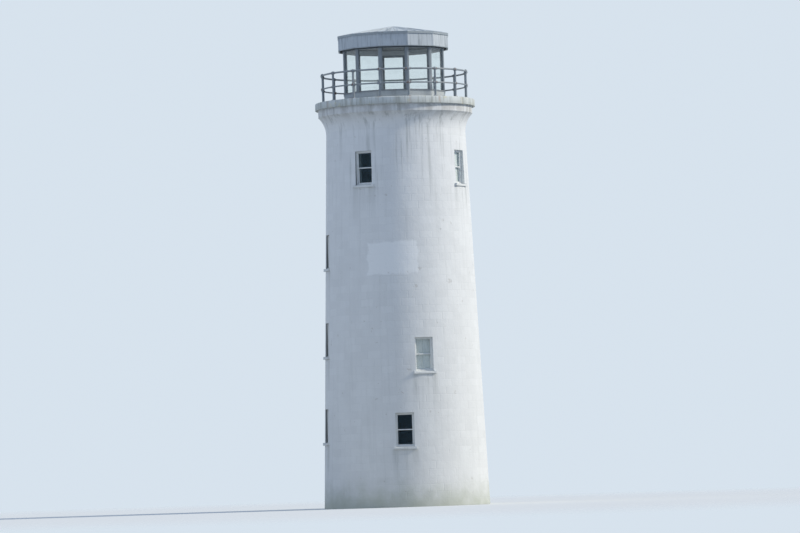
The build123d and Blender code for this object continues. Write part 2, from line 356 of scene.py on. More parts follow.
    def spots(self, scale: float, reach: float, shift: float = 0.0) -> Socket:
        """Join scattered round spots with ragged edges.

        Args:
            scale: Cells to a metre.
            reach: Radius of the spots, as a share of a cell.
            shift: Offset that gives each use its own pattern.

        Returns:
            A socket that is 1 in the spots.
        """
        cells = self.node("ShaderNodeTexVoronoi", {"Vector": self.moved(shift), "Scale": scale})
        ragged = self.vary(scale * 5, reach, -reach / 2, 3.0, shift)
        edge = self.plus(cells.outputs["Distance"], ragged)
        return self.band(edge, reach, reach * 0.7)

    def mix(self, share: Value, first: Tint, second: Tint, blend: str = "MIX") -> Socket:
        """Join two colours.

        Args:
            share: How much of the second colour shows.
            first: First colour or socket.
            second: Second colour or socket.
            blend: How they are joined.

        Returns:
            The mixed colour's socket.
        """
        made = self.node("ShaderNodeMix", {0: share}, data_type="RGBA", blend_type=blend)
        for index, value in ((6, first), (7, second)):
            if isinstance(value, bpy.types.NodeSocket):
                self.tree.links.new(value, made.inputs[index])
            else:
                made.inputs[index].default_value = (*value, 1.0)
        return made.outputs[2]

    def bump(self, height: Socket, depth: float) -> Socket:
        """Join a bump of a depth in metres, and return its normal's socket."""
        inputs = {"Height": height, "Distance": depth, "Strength": 1.0}
        return self.node("ShaderNodeBump", inputs).outputs[0]

    def looked_at(self) -> Socket:
        """Find what is seen straight, in a mirror or through glass.

        Returns:
            A socket that is 1 for it.
        """
        path = self.node("ShaderNodeLightPath").outputs
        mirrored = self.calc("MAXIMUM", path["Is Camera Ray"], path["Is Glossy Ray"])
        return self.calc("MAXIMUM", mirrored, path["Is Transmission Ray"])

    def cover(self, share: Value, under: bpy.types.Node, over: bpy.types.Node) -> bpy.types.Node:
        """Return the node that covers one shader with a share of another."""
        inputs = {0: share, 1: under.outputs[0], 2: over.outputs[0]}
        return self.node("ShaderNodeMixShader", inputs)

    def close(self, shader: bpy.types.Node) -> None:
        """Join the last shader to the tree's output."""
        self.tree.links.new(shader.outputs[0], self.output.inputs["Surface"])

    def surface(self, colour: Socket, roughness: Value, normal: Socket, **fixed: float) -> None:
        """Finish the tree with a Principled shader.

        Args:
            colour: Base colour's socket.
            roughness: Roughness value or socket.
            normal: Normal's socket.
            **fixed: Other inputs, with spaces written as underscores.
        """
        inputs = {"Base Color": colour, "Roughness": roughness, "Normal": normal}
        inputs.update({name.replace("_", " "): value for name, value in fixed.items()})
        self.close(self.node("ShaderNodeBsdfPrincipled", inputs))


@dataclass(frozen=True)
class Finish:
    """A surface finish, which makes its material once."""

    name: str
    colour: Colour

    @cache
    def material(self) -> bpy.types.Material:
        """Make the finish's material on first use.

        Returns:
            The material.
        """
        made = bpy.data.materials.new(self.name)
        self.paint(Graph(made))
        return made

    def tone(self, factor: float) -> Colour:
        """Return the finish's colour, lighter or darker by a factor."""
        red, green, blue = self.colour
        return (red * factor, green * factor, blue * factor)

    def paint(self, graph: Graph) -> None:
        """Fill in the material's nodes."""
        raise NotImplementedError


@dataclass(frozen=True)
class RunOff:
    """Where rain runs down the wall from a window sill's two ends."""

    bearing: float
    radius: float
    sill: float
    half: float
    length: float = 1.7


@dataclass(frozen=True)
class Patch:
    """A part of the wall painted again later: bearings in radians, heights, and their blur."""

    left: float
    right: float
    low: float
    high: float
    edge: float = 0.015
    lap: float = 0.05


@dataclass(frozen=True)
class Limewash(Finish):
    """Many coats of white limewash and paint over coursed masonry."""

    colour: Colour = (0.775, 0.785, 0.775)
    blocks_round: int = 34
    course_height: float = 0.3
    grime: Colour = (0.4, 0.42, 0.4)
    algae: Colour = (0.33, 0.37, 0.25)
    bare: Colour = (0.5, 0.48, 0.44)
    # Painted shade: the dark colour of the faces that look into the rooms.
    inside: Colour = (0.13, 0.125, 0.11)
    # Painted shade: the near-black that darkens the reveals on the shaded side.
    reveal_shade: Colour = (0.1, 0.106, 0.102)
    foot_radius: float = 3.38
    taper: float = 0.03487
    room_radius: float = 2.35
    # Painted shade below the gallery deck, with a patchy edge.
    painted_soffit_shade: Colour = (0.3, 0.285, 0.25)
    soffit_levels: Span = (15.55, 16.1)
    streak_levels: Span = (11.5, 15.4)
    damp_height: float = 1.3
    run_offs: tuple[RunOff, ...] = ()
    patch: Optional[Patch] = None

    def paint(self, graph: Graph) -> None:
        """Lay the coats over the blocks, weather them, and paint shade into the shaded reveals and onto
        the faces that look into the rooms.

        Args:
            graph: The material's graph.
        """
        shade, joints = self.blocks(graph)
        runs = graph.band(graph.noise(1.0, 6.0, (6.5, 6.5, 0.22)), 0.5, 0.72)
        flakes = graph.band(graph.noise(3.4, 9.0, shift=9.0), 0.675, 0.69)
        colour = self.coats(graph, shade)
        colour = graph.mix(graph.times(joints, 0.08), colour, self.grime)
        colour = self.weathered(graph, colour, runs)
        for run_off in self.run_offs:
            colour = graph.mix(self.stain(graph, run_off, runs), colour, self.grime)
        if self.patch is not None:
            colour = graph.mix(self.repaint(graph, self.patch), colour, self.tone(1.16))
        colour = graph.mix(graph.times(flakes, 0.45), colour, self.bare)
        speckle = graph.band(graph.noise(42.0, 3.0), 0.58, 0.75, 0.0, 0.22)
        colour = graph.mix(speckle, colour, self.grime)
        # Painted shade in the reveals on the shaded side of the tower.
        colour = graph.mix(self.reveal_shade_mask(graph), colour, self.reveal_shade)
        # Painted shade on the faces that look into the rooms, which darkens the windows.
        indoors = graph.band(graph.from_axis(), self.room_radius + 0.03, self.room_radius + 0.01)
        colour = graph.mix(indoors, colour, self.inside)
        normal = graph.bump(self.relief(graph, joints, flakes), 0.01)
        graph.surface(colour, graph.vary(6.0, 0.3, 0.52), normal, Specular_IOR_Level=0.35)

    def blocks(self, graph: Graph) -> tuple[Socket, Socket]:
        """Set out the masonry's blocks in slightly wavering courses.

        Args:
            graph: The material's graph.

        Returns:
            The socket of each block's shade, and the mask of the joints that still show.
        """
        around = graph.times(graph.bearing(), self.blocks_round / math.tau)
        waver = graph.vary(1.1, 0.16, -0.08, 2.0)
        course = graph.plus(graph.calc("DIVIDE", graph.z, self.course_height), waver)
        bricks = graph.node(
            "ShaderNodeTexBrick",
            {
                "Vector": graph.vector(around, course),
                "Color1": (0.0, 0.0, 0.0, 1.0),
                "Color2": (1.0, 1.0, 1.0, 1.0),
                "Mortar": (0.5, 0.5, 0.5, 1.0),
                "Scale": 1.0,
                "Mortar Size": 0.045,
                "Mortar Smooth": 0.9,
                "Brick Width": 1.0,
                "Row Height": 1.0,
            },
        )
        filled = graph.band(graph.noise(0.9, 3.0, shift=13.0), 0.38, 0.62, 0.2, 1.0)
        shade = graph.scaled(bricks.outputs[0], 0.05, 0.97)
        return shade, graph.times(bricks.outputs[1], filled)

    def coats(self, graph: Graph, shade: Socket) -> Socket:
        """Vary the white from coat to coat and from block to block.

        Args:
            graph: The material's graph.
            shade: The socket of each block's shade.

        Returns:
            The colour's socket.
        """
        colour = graph.mix(graph.noise(0.5, 5.0), self.tone(0.94), self.tone(1.05))
        later = graph.band(graph.noise(1.7, 6.0, (1.0, 1.0, 0.45), 3.0), 0.46, 0.6, 0.0, 0.55)
        colour = graph.mix(later, colour, self.tone(1.04))
        return graph.mix(1.0, colour, graph.vector(shade, shade, shade), "MULTIPLY")

    def weathered(self, graph: Graph, colour: Socket, runs: Socket) -> Socket:
        """Streak the wall with rain, grow algae at its foot, and paint shade onto the cornice below the
        deck.

        Args:
            graph: The material's graph.
            colour: The colour's socket so far.
            runs: The streak noise.

        Returns:
            The colour's socket.
        """
        reach = graph.band(graph.z, *self.streak_levels, 0.1, 0.62)
        colour = graph.mix(graph.times(runs, reach), colour, self.grime)
        ragged = graph.plus(graph.z, graph.times(graph.noise(1.6, 6.0), 1.5))
        foot = graph.band(ragged, self.damp_height + 0.75, 0.5, 0.0, 0.55)
        colour = graph.mix(foot, colour, self.algae)
        # Painted shade on the cornice just below the deck, broken up by a patchy noise.
        patchy = graph.band(graph.noise(1.3, 6.0, (2.0, 2.0, 1.0), 11.0), 0.36, 0.62, 0.12, 0.5)
        soffit_shade = graph.times(graph.band(graph.z, *self.soffit_levels), patchy)
        return graph.mix(soffit_shade, colour, self.painted_soffit_shade)

    def relief(self, graph: Graph, joints: Socket, flakes: Socket) -> Socket:
        """Raise the trowelled coats, and sink the joints and the flakes.

        Args:
            graph: The material's graph.
            joints: The joints' mask.
            flakes: The flakes' mask.

        Returns:
            The height's socket.
        """
        trowel = graph.times(graph.noise(2.2, 5.0, shift=5.0), 1.6)
        height = graph.scaled(graph.noise(55.0, 4.0), 0.16, trowel)
        height = graph.minus(height, graph.times(joints, 0.3))
        return graph.minus(height, graph.times(flakes, 0.22))

    def stain(self, graph: Graph, run_off: RunOff, runs: Socket) -> Socket:
        """Mask the stains that run down from a sill's ends.

        Args:
            graph: The material's graph.
            run_off: The window's run-off.
            runs: The streak noise that breaks the stains up.

        Returns:
            The mask's socket.
        """
        turn = graph.calc("SINE", graph.minus(graph.bearing(), run_off.bearing))
        across = graph.calc("ABSOLUTE", graph.times(turn, run_off.radius))
        half = run_off.half
        ends = graph.times(
            graph.band(across, half * 0.45, half * 0.85, 0.35, 1.0),
            graph.band(across, half * 0.95, half * 1.2, 1.0, 0.0),
        )
        below = graph.minus(run_off.sill, graph.z)
        fall = graph.times(
            graph.band(below, 0.0, run_off.length, 1.0, 0.0), graph.band(below, -0.02, 0.02)
        )
        return graph.times(graph.times(ends, fall), graph.scaled(runs, 0.55, 0.3))

    def reveal_shade_mask(self, graph: Graph) -> Socket:
        """Mask the openings' reveals on the shaded side, to paint shade into them.

        Args:
            graph: The material's graph.

        Returns:
            The mask's socket.
        """
        face = graph.scaled(graph.z, -self.taper, self.foot_radius)
        depth = graph.minus(face, graph.from_axis())
        shaded = graph.band(graph.x, -1.0, -1.6)
        return graph.times(graph.band(depth, 0.015, 0.05, 0.0, 0.88), shaded)

    def repaint(self, graph: Graph, patch: Patch) -> Socket:
        """Mask the patch that was painted again, with a brushed edge.

        Args:
            graph: The material's graph.
            patch: The patch.

        Returns:
            The mask's socket.
        """
        sway = graph.vary(2.4, 0.16, -0.08, 5.0, 7.0)
        turn = graph.plus(graph.bearing(), sway)
        level = graph.scaled(sway, 2.4, graph.z)
        sides = graph.times(
            graph.band(turn, patch.left - patch.edge, patch.left + patch.edge),
            graph.band(turn, patch.right - patch.edge, patch.right + patch.edge, 1.0, 0.0),
        )
        levels = graph.times(
            graph.band(level, patch.low - patch.lap, patch.low + patch.lap),
            graph.band(level, patch.high - patch.lap, patch.high + patch.lap, 1.0, 0.0),
        )
        return graph.times(graph.times(sides, levels), 0.85)


@dataclass(frozen=True)
class GalleryStone(Finish):
    """Painted stone slabs, rain-streaked and stained below the railing's feet."""

    colour: Colour = (0.66, 0.69, 0.665)
    posts_round: int = 16
    top: float = DECK_TOP
    thickness: float = 0.3
    streak: Colour = (0.24, 0.25, 0.21)
    rust: Colour = (0.33, 0.2, 0.11)
    lichen: Colour = (0.62, 0.57, 0.34)

    def paint(self, graph: Graph) -> None:
        """Streak the slabs' edge and paint shade on its lower part, rust it below the posts and foul the
        tread.

        Args:
            graph: The material's graph.
        """
        colour = graph.mix(graph.noise(1.3, 6.0), self.tone(0.86), self.tone(1.1))
        runs = graph.band(graph.noise(1.0, 6.0, (9.0, 9.0, 0.8)), 0.44, 0.68, 0.0, 0.6)
        colour = graph.mix(runs, colour, self.streak)
        below_posts = graph.band(graph.wave(self.posts_round), -0.93, -1.0)
        broken = graph.band(graph.noise(2.0, 5.0, (3.0, 3.0, 0.6)), 0.4, 0.6)
        weeping = graph.times(below_posts, broken)
        colour = graph.mix(graph.times(weeping, 0.4), colour, self.rust)
        # Painted shade: the edge darkens towards its foot, under the nosing.
        lower = graph.band(
            graph.z, self.top - self.thickness * 0.3, self.top - self.thickness, 0.0, 0.3
        )
        uneven = graph.band(graph.noise(2.0, 6.0, shift=4.0), 0.3, 0.55, 0.5, 1.0)
        colour = graph.mix(graph.times(lower, uneven), colour, self.streak)
        flat = graph.band(graph.z, self.top - 0.04, self.top - 0.01)
        trodden = graph.band(graph.noise(1.9, 9.0, shift=12.0), 0.46, 0.68, 0.0, 0.36)
        colour = graph.mix(graph.times(trodden, flat), colour, self.streak)
        growth = graph.band(graph.noise(5.5, 9.0, shift=15.0), 0.6, 0.63, 0.0, 0.35)
        colour = graph.mix(growth, colour, self.lichen)
        normal = graph.bump(graph.scaled(graph.noise(30.0, 5.0), 0.3, graph.noise(4.0)), 0.006)
        graph.surface(colour, graph.vary(9.0, 0.25, 0.62), normal, Specular_IOR_Level=0.3)


@dataclass(frozen=True)
class Stone(Finish):
    """Dressed or cast stone with a fine grain and patches of dirt."""

    grain: float = 60.0
    dirt: float = 0.35

    def paint(self, graph: Graph) -> None:
        """Vary the stone, darken its grain and lay dirt on it.

        Args:
            graph: The material's graph.
        """
        colour = graph.mix(graph.noise(3.0, 6.0), self.tone(0.82), self.tone(1.14))
        grain = graph.band(graph.noise(self.grain, 3.0), 0.52, 0.7, 0.0, 0.35)
        colour = graph.mix(grain, colour, self.tone(0.6))
        dirt = graph.band(graph.noise(1.4, 6.0, (2.0, 2.0, 0.7), 4.0), 0.5, 0.7, 0.0, self.dirt)
        colour = graph.mix(dirt, colour, self.tone(0.5))
        normal = graph.bump(graph.scaled(graph.noise(self.grain), 0.4, graph.noise(5.0)), 0.004)
        graph.surface(colour, graph.vary(8.0, 0.2, 0.7), normal, Specular_IOR_Level=0.3)


@dataclass(frozen=True)
class PaintedWood(Finish):
    """Brushed gloss paint on timber, chalked by the sun and streaked with dirt."""

    sheen: float = 0.42
    dirt: float = 0.35
    board_width: float = 0.0

    def paint(self, graph: Graph) -> None:
        """Brush the paint on, and cut the boards' grooves where there are boards.

        Args:
            graph: The material's graph.
        """
        colour = graph.mix(graph.noise(2.5, 5.0), self.tone(0.9), self.tone(1.06))
        dirt = graph.band(graph.noise(7.0, 6.0, (1.0, 1.0, 0.4)), 0.52, 0.72, 0.0, self.dirt)
        colour = graph.mix(dirt, colour, self.tone(0.45))
        brush = graph.noise(9.0, 4.0, (14.0, 14.0, 0.9))
        relief = graph.scaled(brush, 0.5, graph.noise(3.0, 3.0))
        if self.board_width:
            along = graph.calc("PINGPONG", graph.x, self.board_width / 2)
            groove = graph.band(along, 0.0, 0.006, 1.0, 0.0)
            colour = graph.mix(graph.times(groove, 0.8), colour, self.tone(0.2))
            relief = graph.minus(relief, graph.times(groove, 3.0))
        roughness = graph.vary(11.0, 0.25, self.sheen - 0.1)
        graph.surface(colour, roughness, graph.bump(relief, 0.0015), Specular_IOR_Level=0.45)


@dataclass(frozen=True)
class PaintedIron(Finish):
    """Thick paint on iron, with rust where water lies."""

    rust: Colour = (0.2, 0.085, 0.035)
    rust_levels: tuple[float, ...] = ()
    rust_reach: float = 0.1
    base_rust: float = 0.12
    joint_rust: float = 0.62
    joints_round: int = 0
    indoors: Optional[Colour] = None
    indoor_radius: float = 1.98

    def wet(self, graph: Graph) -> Value:
        """Find where water lies: at some levels, and there at the joints alone if they are counted.

        Args:
            graph: The material's graph.

        Returns:
            The wetness, or its socket.
        """
        wet: Value = self.base_rust
        for level in self.rust_levels:
            off = graph.calc("ABSOLUTE", graph.minus(graph.z, level))
            near = graph.band(off, 0.0, self.rust_reach, self.joint_rust, 0.0)
            if self.joints_round:
                near = graph.times(near, graph.band(graph.wave(self.joints_round), -0.6, -0.95))
            wet = graph.calc("MAXIMUM", wet, near)
        return wet

    def paint(self, graph: Graph) -> None:
        """Chalk the paint, break it with rust and paint the inner faces.

        Args:
            graph: The material's graph.
        """
        colour = graph.mix(graph.noise(3.0, 5.0), self.tone(0.82), self.tone(1.15))
        chalk = graph.band(graph.noise(6.0, 6.0, (1.0, 1.0, 0.5), 2.0), 0.5, 0.72, 0.0, 0.4)
        colour = graph.mix(chalk, colour, self.tone(1.5))
        pits = graph.noise(14.0, 6.0, (1.0, 1.0, 0.6), 6.0)
        rusty = graph.band(graph.plus(pits, graph.times(self.wet(graph), 0.28)), 0.66, 0.78)
        colour = graph.mix(graph.times(rusty, 0.85), colour, self.rust)
        if self.indoors is not None:
            inside = graph.band(graph.from_axis(), self.indoor_radius + 0.01, self.indoor_radius)
            colour = graph.mix(inside, colour, self.indoors)
        normal = graph.bump(graph.scaled(rusty, 0.8, graph.noise(18.0, 5.0)), 0.0015)
        roughness = graph.scaled(rusty, 0.4, graph.vary(8.0, 0.16, 0.34, 3.0))
        graph.surface(colour, roughness, normal, Specular_IOR_Level=0.5)


@dataclass(frozen=True)
class RoofPaint(Finish):
    """Painted metal sheet over boards, streaked down the slope and down the fascia."""

    colour: Colour = (0.54, 0.58, 0.6)
    eaves: float = EAVES
    streak: Colour = (0.2, 0.23, 0.24)
    streaks_round: float = 34.0

    def paint(self, graph: Graph) -> None:
        """Streak the sheet away from the cap above the eaves, and straight down below them.

        Args:
            graph: The material's graph.
        """
        colour = graph.mix(graph.noise(1.6, 6.0), self.tone(0.86), self.tone(1.12))
        turn = graph.times(graph.bearing(), self.streaks_round / math.tau)
        flow = graph.vector(turn, graph.times(graph.length(graph.position), 0.35))
        inputs = {"Vector": flow, "Scale": 2.0, "Detail": 6.0}
        slope = graph.node("ShaderNodeTexNoise", inputs).outputs[0]
        down = graph.noise(1.0, 6.0, (11.0, 11.0, 0.9), 2.0)
        above = graph.band(graph.z, self.eaves - 0.01, self.eaves + 0.01)
        runs = graph.plus(graph.times(slope, above), graph.times(down, graph.minus(1.0, above)))
        colour = graph.mix(graph.band(runs, 0.48, 0.72, 0.0, 0.55), colour, self.streak)
        colour = graph.mix(graph.times(graph.spots(9.0, 0.12), 0.4), colour, self.tone(1.3))
        normal = graph.bump(graph.scaled(graph.noise(26.0), 0.2, graph.noise(2.6, 3.0)), 0.003)
        graph.surface(colour, graph.vary(7.0, 0.25, 0.62), normal, Specular_IOR_Level=0.2)


@dataclass(frozen=True)
class Glass(Finish):
    """Thin clear glass: it lets light straight through and mirrors more at a slant."""

    haze: float
    salt: float
    index: float
    # Tint of the mirror: a blue one paints a sky into the reflection.
    painted_sky_tint: Colour = (1.0, 1.0, 1.0)
    dust: Colour = (0.75, 0.77, 0.78)

    def paint(self, graph: Graph) -> None:
        """Lay a rippled mirror over the clear pane, and dried spray over both.

        Args:
            graph: The material's graph.
        """
        clear = graph.node("ShaderNodeBsdfTransparent", {"Color": (*self.colour, 1.0)})
        smear = graph.noise(3.0, 6.0, (1.0, 1.0, 0.4))
        film = graph.band(smear, 0.45, 0.75, self.haze, self.haze + 0.14)
        ripple = graph.bump(graph.noise(5.0, 2.0), 0.0008)
        inputs = {"Color": (*self.painted_sky_tint, 1.0), "Roughness": film, "Normal": ripple}
        mirror = graph.node("ShaderNodeBsdfAnisotropic", inputs)
        leaving = graph.node("ShaderNodeNewGeometry").outputs["Backfacing"]
        entering = graph.minus(1.0, leaving)
        fresnel = graph.node("ShaderNodeFresnel", {"IOR": self.index, "Normal": ripple}).outputs[0]
        pane = graph.cover(graph.times(fresnel, entering), clear, mirror)
        dust = graph.node("ShaderNodeBsdfDiffuse", {"Color": (*self.dust, 1.0)})
        spray = graph.band(graph.noise(2.2, 7.0, shift=8.0), 0.46, 0.7, self.salt * 0.3, self.salt)
        graph.close(graph.cover(graph.times(spray, entering), pane, dust))


@dataclass(frozen=True)
class Brass(Finish):
    """Dull brass with a brown tarnish."""

    tarnish: Colour = (0.16, 0.11, 0.05)

    def paint(self, graph: Graph) -> None:
        """Cloud the metal with tarnish.

        Args:
            graph: The material's graph.
        """
        old = graph.band(graph.noise(70.0, 5.0), 0.36, 0.72, 0.1, 0.55)
        colour = graph.mix(old, self.colour, self.tarnish)
        normal = graph.bump(graph.noise(60.0, 3.0), 0.0004)
        graph.surface(colour, graph.scaled(old, 0.35, 0.28), normal, Metallic=1.0)


class Paints(Enum):
    """The finishes that several sub-assemblies share."""

    WALL = Limewash("limewash")
    GALLERY = GalleryStone("weathered_slabs")
    MORTAR = Stone("gallery_mortar", (0.3, 0.31, 0.29))
    CONCRETE = Stone("floor_concrete", (0.48, 0.47, 0.45))
    STEP = Stone("worn_step", (0.55, 0.54, 0.5), 45.0, 0.5)
    SILL = Stone("painted_sill_stone", (0.76, 0.775, 0.755), 50.0, 0.3)
    POINTING = Stone("frame_pointing", (0.7, 0.71, 0.68), 70.0, 0.4)
    SASH = PaintedWood("white_joinery", (0.77, 0.78, 0.76))
    SHUTTER = PaintedWood("pale_shutters", (0.84, 0.84, 0.8), 0.5, 0.15)
    DOOR = PaintedWood("dark_door_gloss", (0.16, 0.21, 0.23), 0.36, 0.2)
    # Near-black: dark ceiling paint, deepened to paint in the shade under the eaves.
    CEILING = PaintedWood("ceiling_paint_and_eaves_shade", (0.05, 0.06, 0.07), 0.5, 0.3, 0.15)
    RAIL = PaintedIron(
        "rail_paint", (0.24, 0.27, 0.29), rust_levels=(DECK_TOP, *RAIL_LEVELS), joints_round=16
    )
    LANTERN = PaintedIron(
        "lantern_paint", (0.22, 0.25, 0.27), rust_levels=(LANTERN_SILL,), rust_reach=0.04
    )
    # Near-black outside: dark paint deepened to paint in the shade under the eaves; the pale inner faces
    # are paint.
    HEAD = PaintedIron("lantern_head_paint_and_eaves_shade", (0.06, 0.072, 0.082), indoors=(0.62, 0.64, 0.63))
    TRIM = PaintedIron("edge_trim_paint", (0.31, 0.35, 0.37))
    PLINTH = Stone("lantern_base_paint", (0.5, 0.53, 0.535), 40.0, 0.4)
    ROOF = RoofPaint("painted_roof_sheet")
    # Its blue mirror tint is a painted sky reflection.
    WINDOW_GLASS = Glass("sash_glass", (0.95, 0.965, 0.96), 0.02, 0.006, 1.38, (0.45, 0.75, 1.0))
    LANTERN_GLASS = Glass("plate_glass", (0.965, 0.982, 0.976), 0.02, 0.07, 1.45)
    BRASS = Brass("dull_brass", (0.52, 0.4, 0.19))


def stand(name: str, data: bpy.types.ID) -> bpy.types.Object:
    """Make an object of some data and link it to the scene.

    Args:
        name: The object's name.
        data: Its mesh, lamp or camera.

    Returns:
        The object.
    """
    made = bpy.data.objects.new(name, data)
    bpy.context.scene.collection.objects.link(made)
    return made


class Shape:
    """A mesh under construction, lofted from rings of points."""

    def __init__(self) -> None:
        """Start with no faces."""
        self.mesh = bmesh.new()

    def loft(self, rings: Sequence[Ring], closed: bool = False) -> None:
        """Skin rings of equal length into one solid.

        Args:
            rings: The cross-sections in order.
            closed: Whether the last ring joins the first, where otherwise both are capped.
        """
        rows = [[self.mesh.verts.new(point) for point in ring] for ring in rings]
        following = rows[1:] + rows[:1] if closed else rows[1:]
        for row, after in zip(rows, following):
            for here in range(len(row)):
                there = (here + 1) % len(row)
                self.mesh.faces.new((row[here], row[there], after[there], after[here]))
        if not closed:
            self.mesh.faces.new(rows[0][::-1])
            self.mesh.faces.new(rows[-1])

    def stack(self, centre: Vector, axis: Vector, steps: Section, sides: int, turn: float = 0.0) -> None:
        """Turn a solid from circles stacked along an axis.

        Args:
            centre: Where the axis starts.
            axis: The axis's direction.
            steps: Each circle's distance along the axis and its radius.
            sides: Points on each circle.
            turn: Angle of the first point, in radians.
        """
        first = axis.orthogonal().normalized()
        second = axis.cross(first)
        self.loft(
            [
                circle(centre + axis * along, first, second, radius, sides, turn)
                for along, radius in steps
            ]
        )

    def block(self, place: Place, across: Span, inward: Span, up: Span) -> None:
        """Add a squared block.

        Args:
            place: The spot that the limits are measured from.
            across: Its left and right limits.
            inward: Its outer and inner limits.
            up: Its lower and upper limits.
        """
        (left, right), (low, high) = across, up
        outline = ((left, low), (right, low), (right, high), (left, high))
        self.loft([[place.at(x, y, z) for x, z in outline] for y in inward])

    def mitred(
        self, place: Place, width: float, height: float, section: Section, across: float = 0.0
    ) -> None:
        """Run a moulding round a rectangle, with mitred corners.

        Args:
            place: The spot at the height of the rectangle's middle.
            width: The rectangle's width.
            height: The rectangle's height.
            section: Points of the moulding, each a distance in from the rectangle's edge and inward.
            across: How far the rectangle's middle lies to the right of the spot.
        """
        rings = []
        for right, top in CORNERS:
            rings.append(
                [
                    place.at(across + right * (width / 2 - u), y, top * (height / 2 - u))
                    for u, y in section
                ]
            )
        self.loft(rings, closed=True)

    def portal(self, place: Place, width: float, height: float, section: Section) -> None:
        """Run a moulding up one side of a doorway, over it and down the other.

        Args:
            place: The middle of the doorway's foot.
            width: The doorway's width.
            height: The doorway's height.
            section: Points of the moulding, as for mitred.
        """
        corners = ((-1, False), (-1, True), (1, True), (1, False))
        self.loft(
            [
                [place.at(side * (width / 2 - u), y, height - u if high else 0.0) for u, y in section]
                for side, high in corners
            ]
        )

    def arc(self, section: Section, start: float, end: float, steps: int) -> None:
        """Turn part of a ring round the tower's axis.

        Args:
            section: Points of the section, each a radius and a height.
            start: Bearing where it starts.
            end: Bearing where it ends.
            steps: Segments.
        """
        whole = abs(end - start) >= math.tau - WELD
        turns = [start + (end - start) * index / steps for index in range(steps + (not whole))]
        self.loft([[outward(turn) * r + UP * z for r, z in section] for turn in turns], whole)

    def tube(self, path: Sequence[Vector], radius: float, sides: int = 10) -> None:
        """Run a round bar along a path of points.

        Args:
            path: The bar's centre line.
            radius: The bar's radius.
            sides: Points round the bar.
        """
        rings = []
        for index, point in enumerate(path):
            ahead = path[min(index + 1, len(path) - 1)] - path[max(index - 1, 0)]
            ahead.normalize()
            side = ahead.cross(UP).normalized()
            rings.append(circle(point, side, side.cross(ahead), radius, sides))
        self.loft(rings)

    def fit(
        self,
        name: str,
        paint: Finish,
        slot: str,
        replaces: Sequence[str] = (),
        bevel: float = 0.0,
        smooth: float = 35.0,
    ) -> None:
        """Make the piece and hang it on the tower's body.

        Args:
            name: The piece's name.
            paint: Its finish.
            slot: The record's slot that the finish belongs to; not used.
            replaces: CAD nodes that the piece stands for.
            bevel: Width of the eased edges.
            smooth: Largest angle in degrees that shades smooth.
        """
        bmesh.ops.recalc_face_normals(self.mesh, faces=self.mesh.faces)
        mesh = bpy.data.meshes.new(name)
        self.mesh.to_mesh(mesh)
        self.mesh.free()
        mesh.shade_smooth()
        mesh.set_sharp_from_angle(angle=math.radians(smooth))
        mesh.materials.append(paint.material())
        piece = stand(name, mesh)
        if bevel:
            ease = piece.modifiers.new("eased_edges", "BEVEL")
            ease.width = bevel
            ease.segments = 2
            ease.limit_method = "ANGLE"
            ease.angle_limit = math.radians(smooth)
            ease.harden_normals = True
        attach(piece, BODY)
        if replaces:
            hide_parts(*replaces)
        LOG.info("%s: %d faces, in %s", name, len(mesh.polygons), paint.name)


def dress(paint: Finish, *nodes: str) -> None:
    """Give CAD nodes a finish and keep their shapes.

    Args:
        paint: The finish.
        *nodes: The nodes' names.
    """
    for node in nodes:
        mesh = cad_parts[node].data
        mesh.materials.clear()
        mesh.materials.append(paint.material())
        LOG.info("%s: CAD shape, in %s", node, paint.name)


@dataclass
class Shaft:
    """The battered round wall in four storeys, its cornice and its floors."""

    windows: list[Solid]
    storeys: tuple[str, ...] = ("ground", "first_floor", "second_floor", "watch_room")
    sides: tuple[str, ...] = ("front", "right", "back", "left")
    floors: tuple[str, ...] = ("ground_floor", "first_floor", "second_floor", "watch_room_floor")
    cornices: tuple[str, ...] = ("cornice_front_and_back", "cornice_left_and_right")
    sill_height: float = 0.1
    sill_horn: float = 0.08
    patched_wall: str = "second_floor_wall_front"
    patch: Patch = Patch(left=math.radians(-25), right=math.radians(14), low=9.4, high=10.7)

    def run_offs(self, node: str, side: int) -> tuple[RunOff, ...]:
        """Find the windows, in a wall or above it, whose rain runs down the wall.

        Args:
            node: The wall's node.
            side: The number of the side that it faces.

        Returns:
            A run-off for each of those windows.
        """
        low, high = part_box(node)
        facing = outward(side * math.pi / 2)
        found = []
        for window in self.windows:
            place = window.place
            sill = place.height - window.height / 2 - self.sill_height
            run_off = RunOff(place.bearing, place.radius, sill, window.width / 2 + self.sill_horn)
            reaches = low.z < sill and sill - run_off.length < high.z
            if reaches and outward(place.bearing).dot(facing) > math.sqrt(0.5):
                found.append(run_off)
        return tuple(found)

    def build(self) -> None:
        """Dress every wall, the cornices and the floors."""
        for storey in self.storeys:
            for index, side in enumerate(self.sides):
                node = f"{storey}_wall_{side}"
                stains = self.run_offs(node, index)
                patch = self.patch if node == self.patched_wall else None
                paint = Paints.WALL.value
                if stains or patch:
                    paint = Limewash(f"limewash_{node}", run_offs=stains, patch=patch)
                dress(paint, node)
        dress(Paints.WALL.value, *self.cornices)
        dress(Paints.CONCRETE.value, *self.floors)


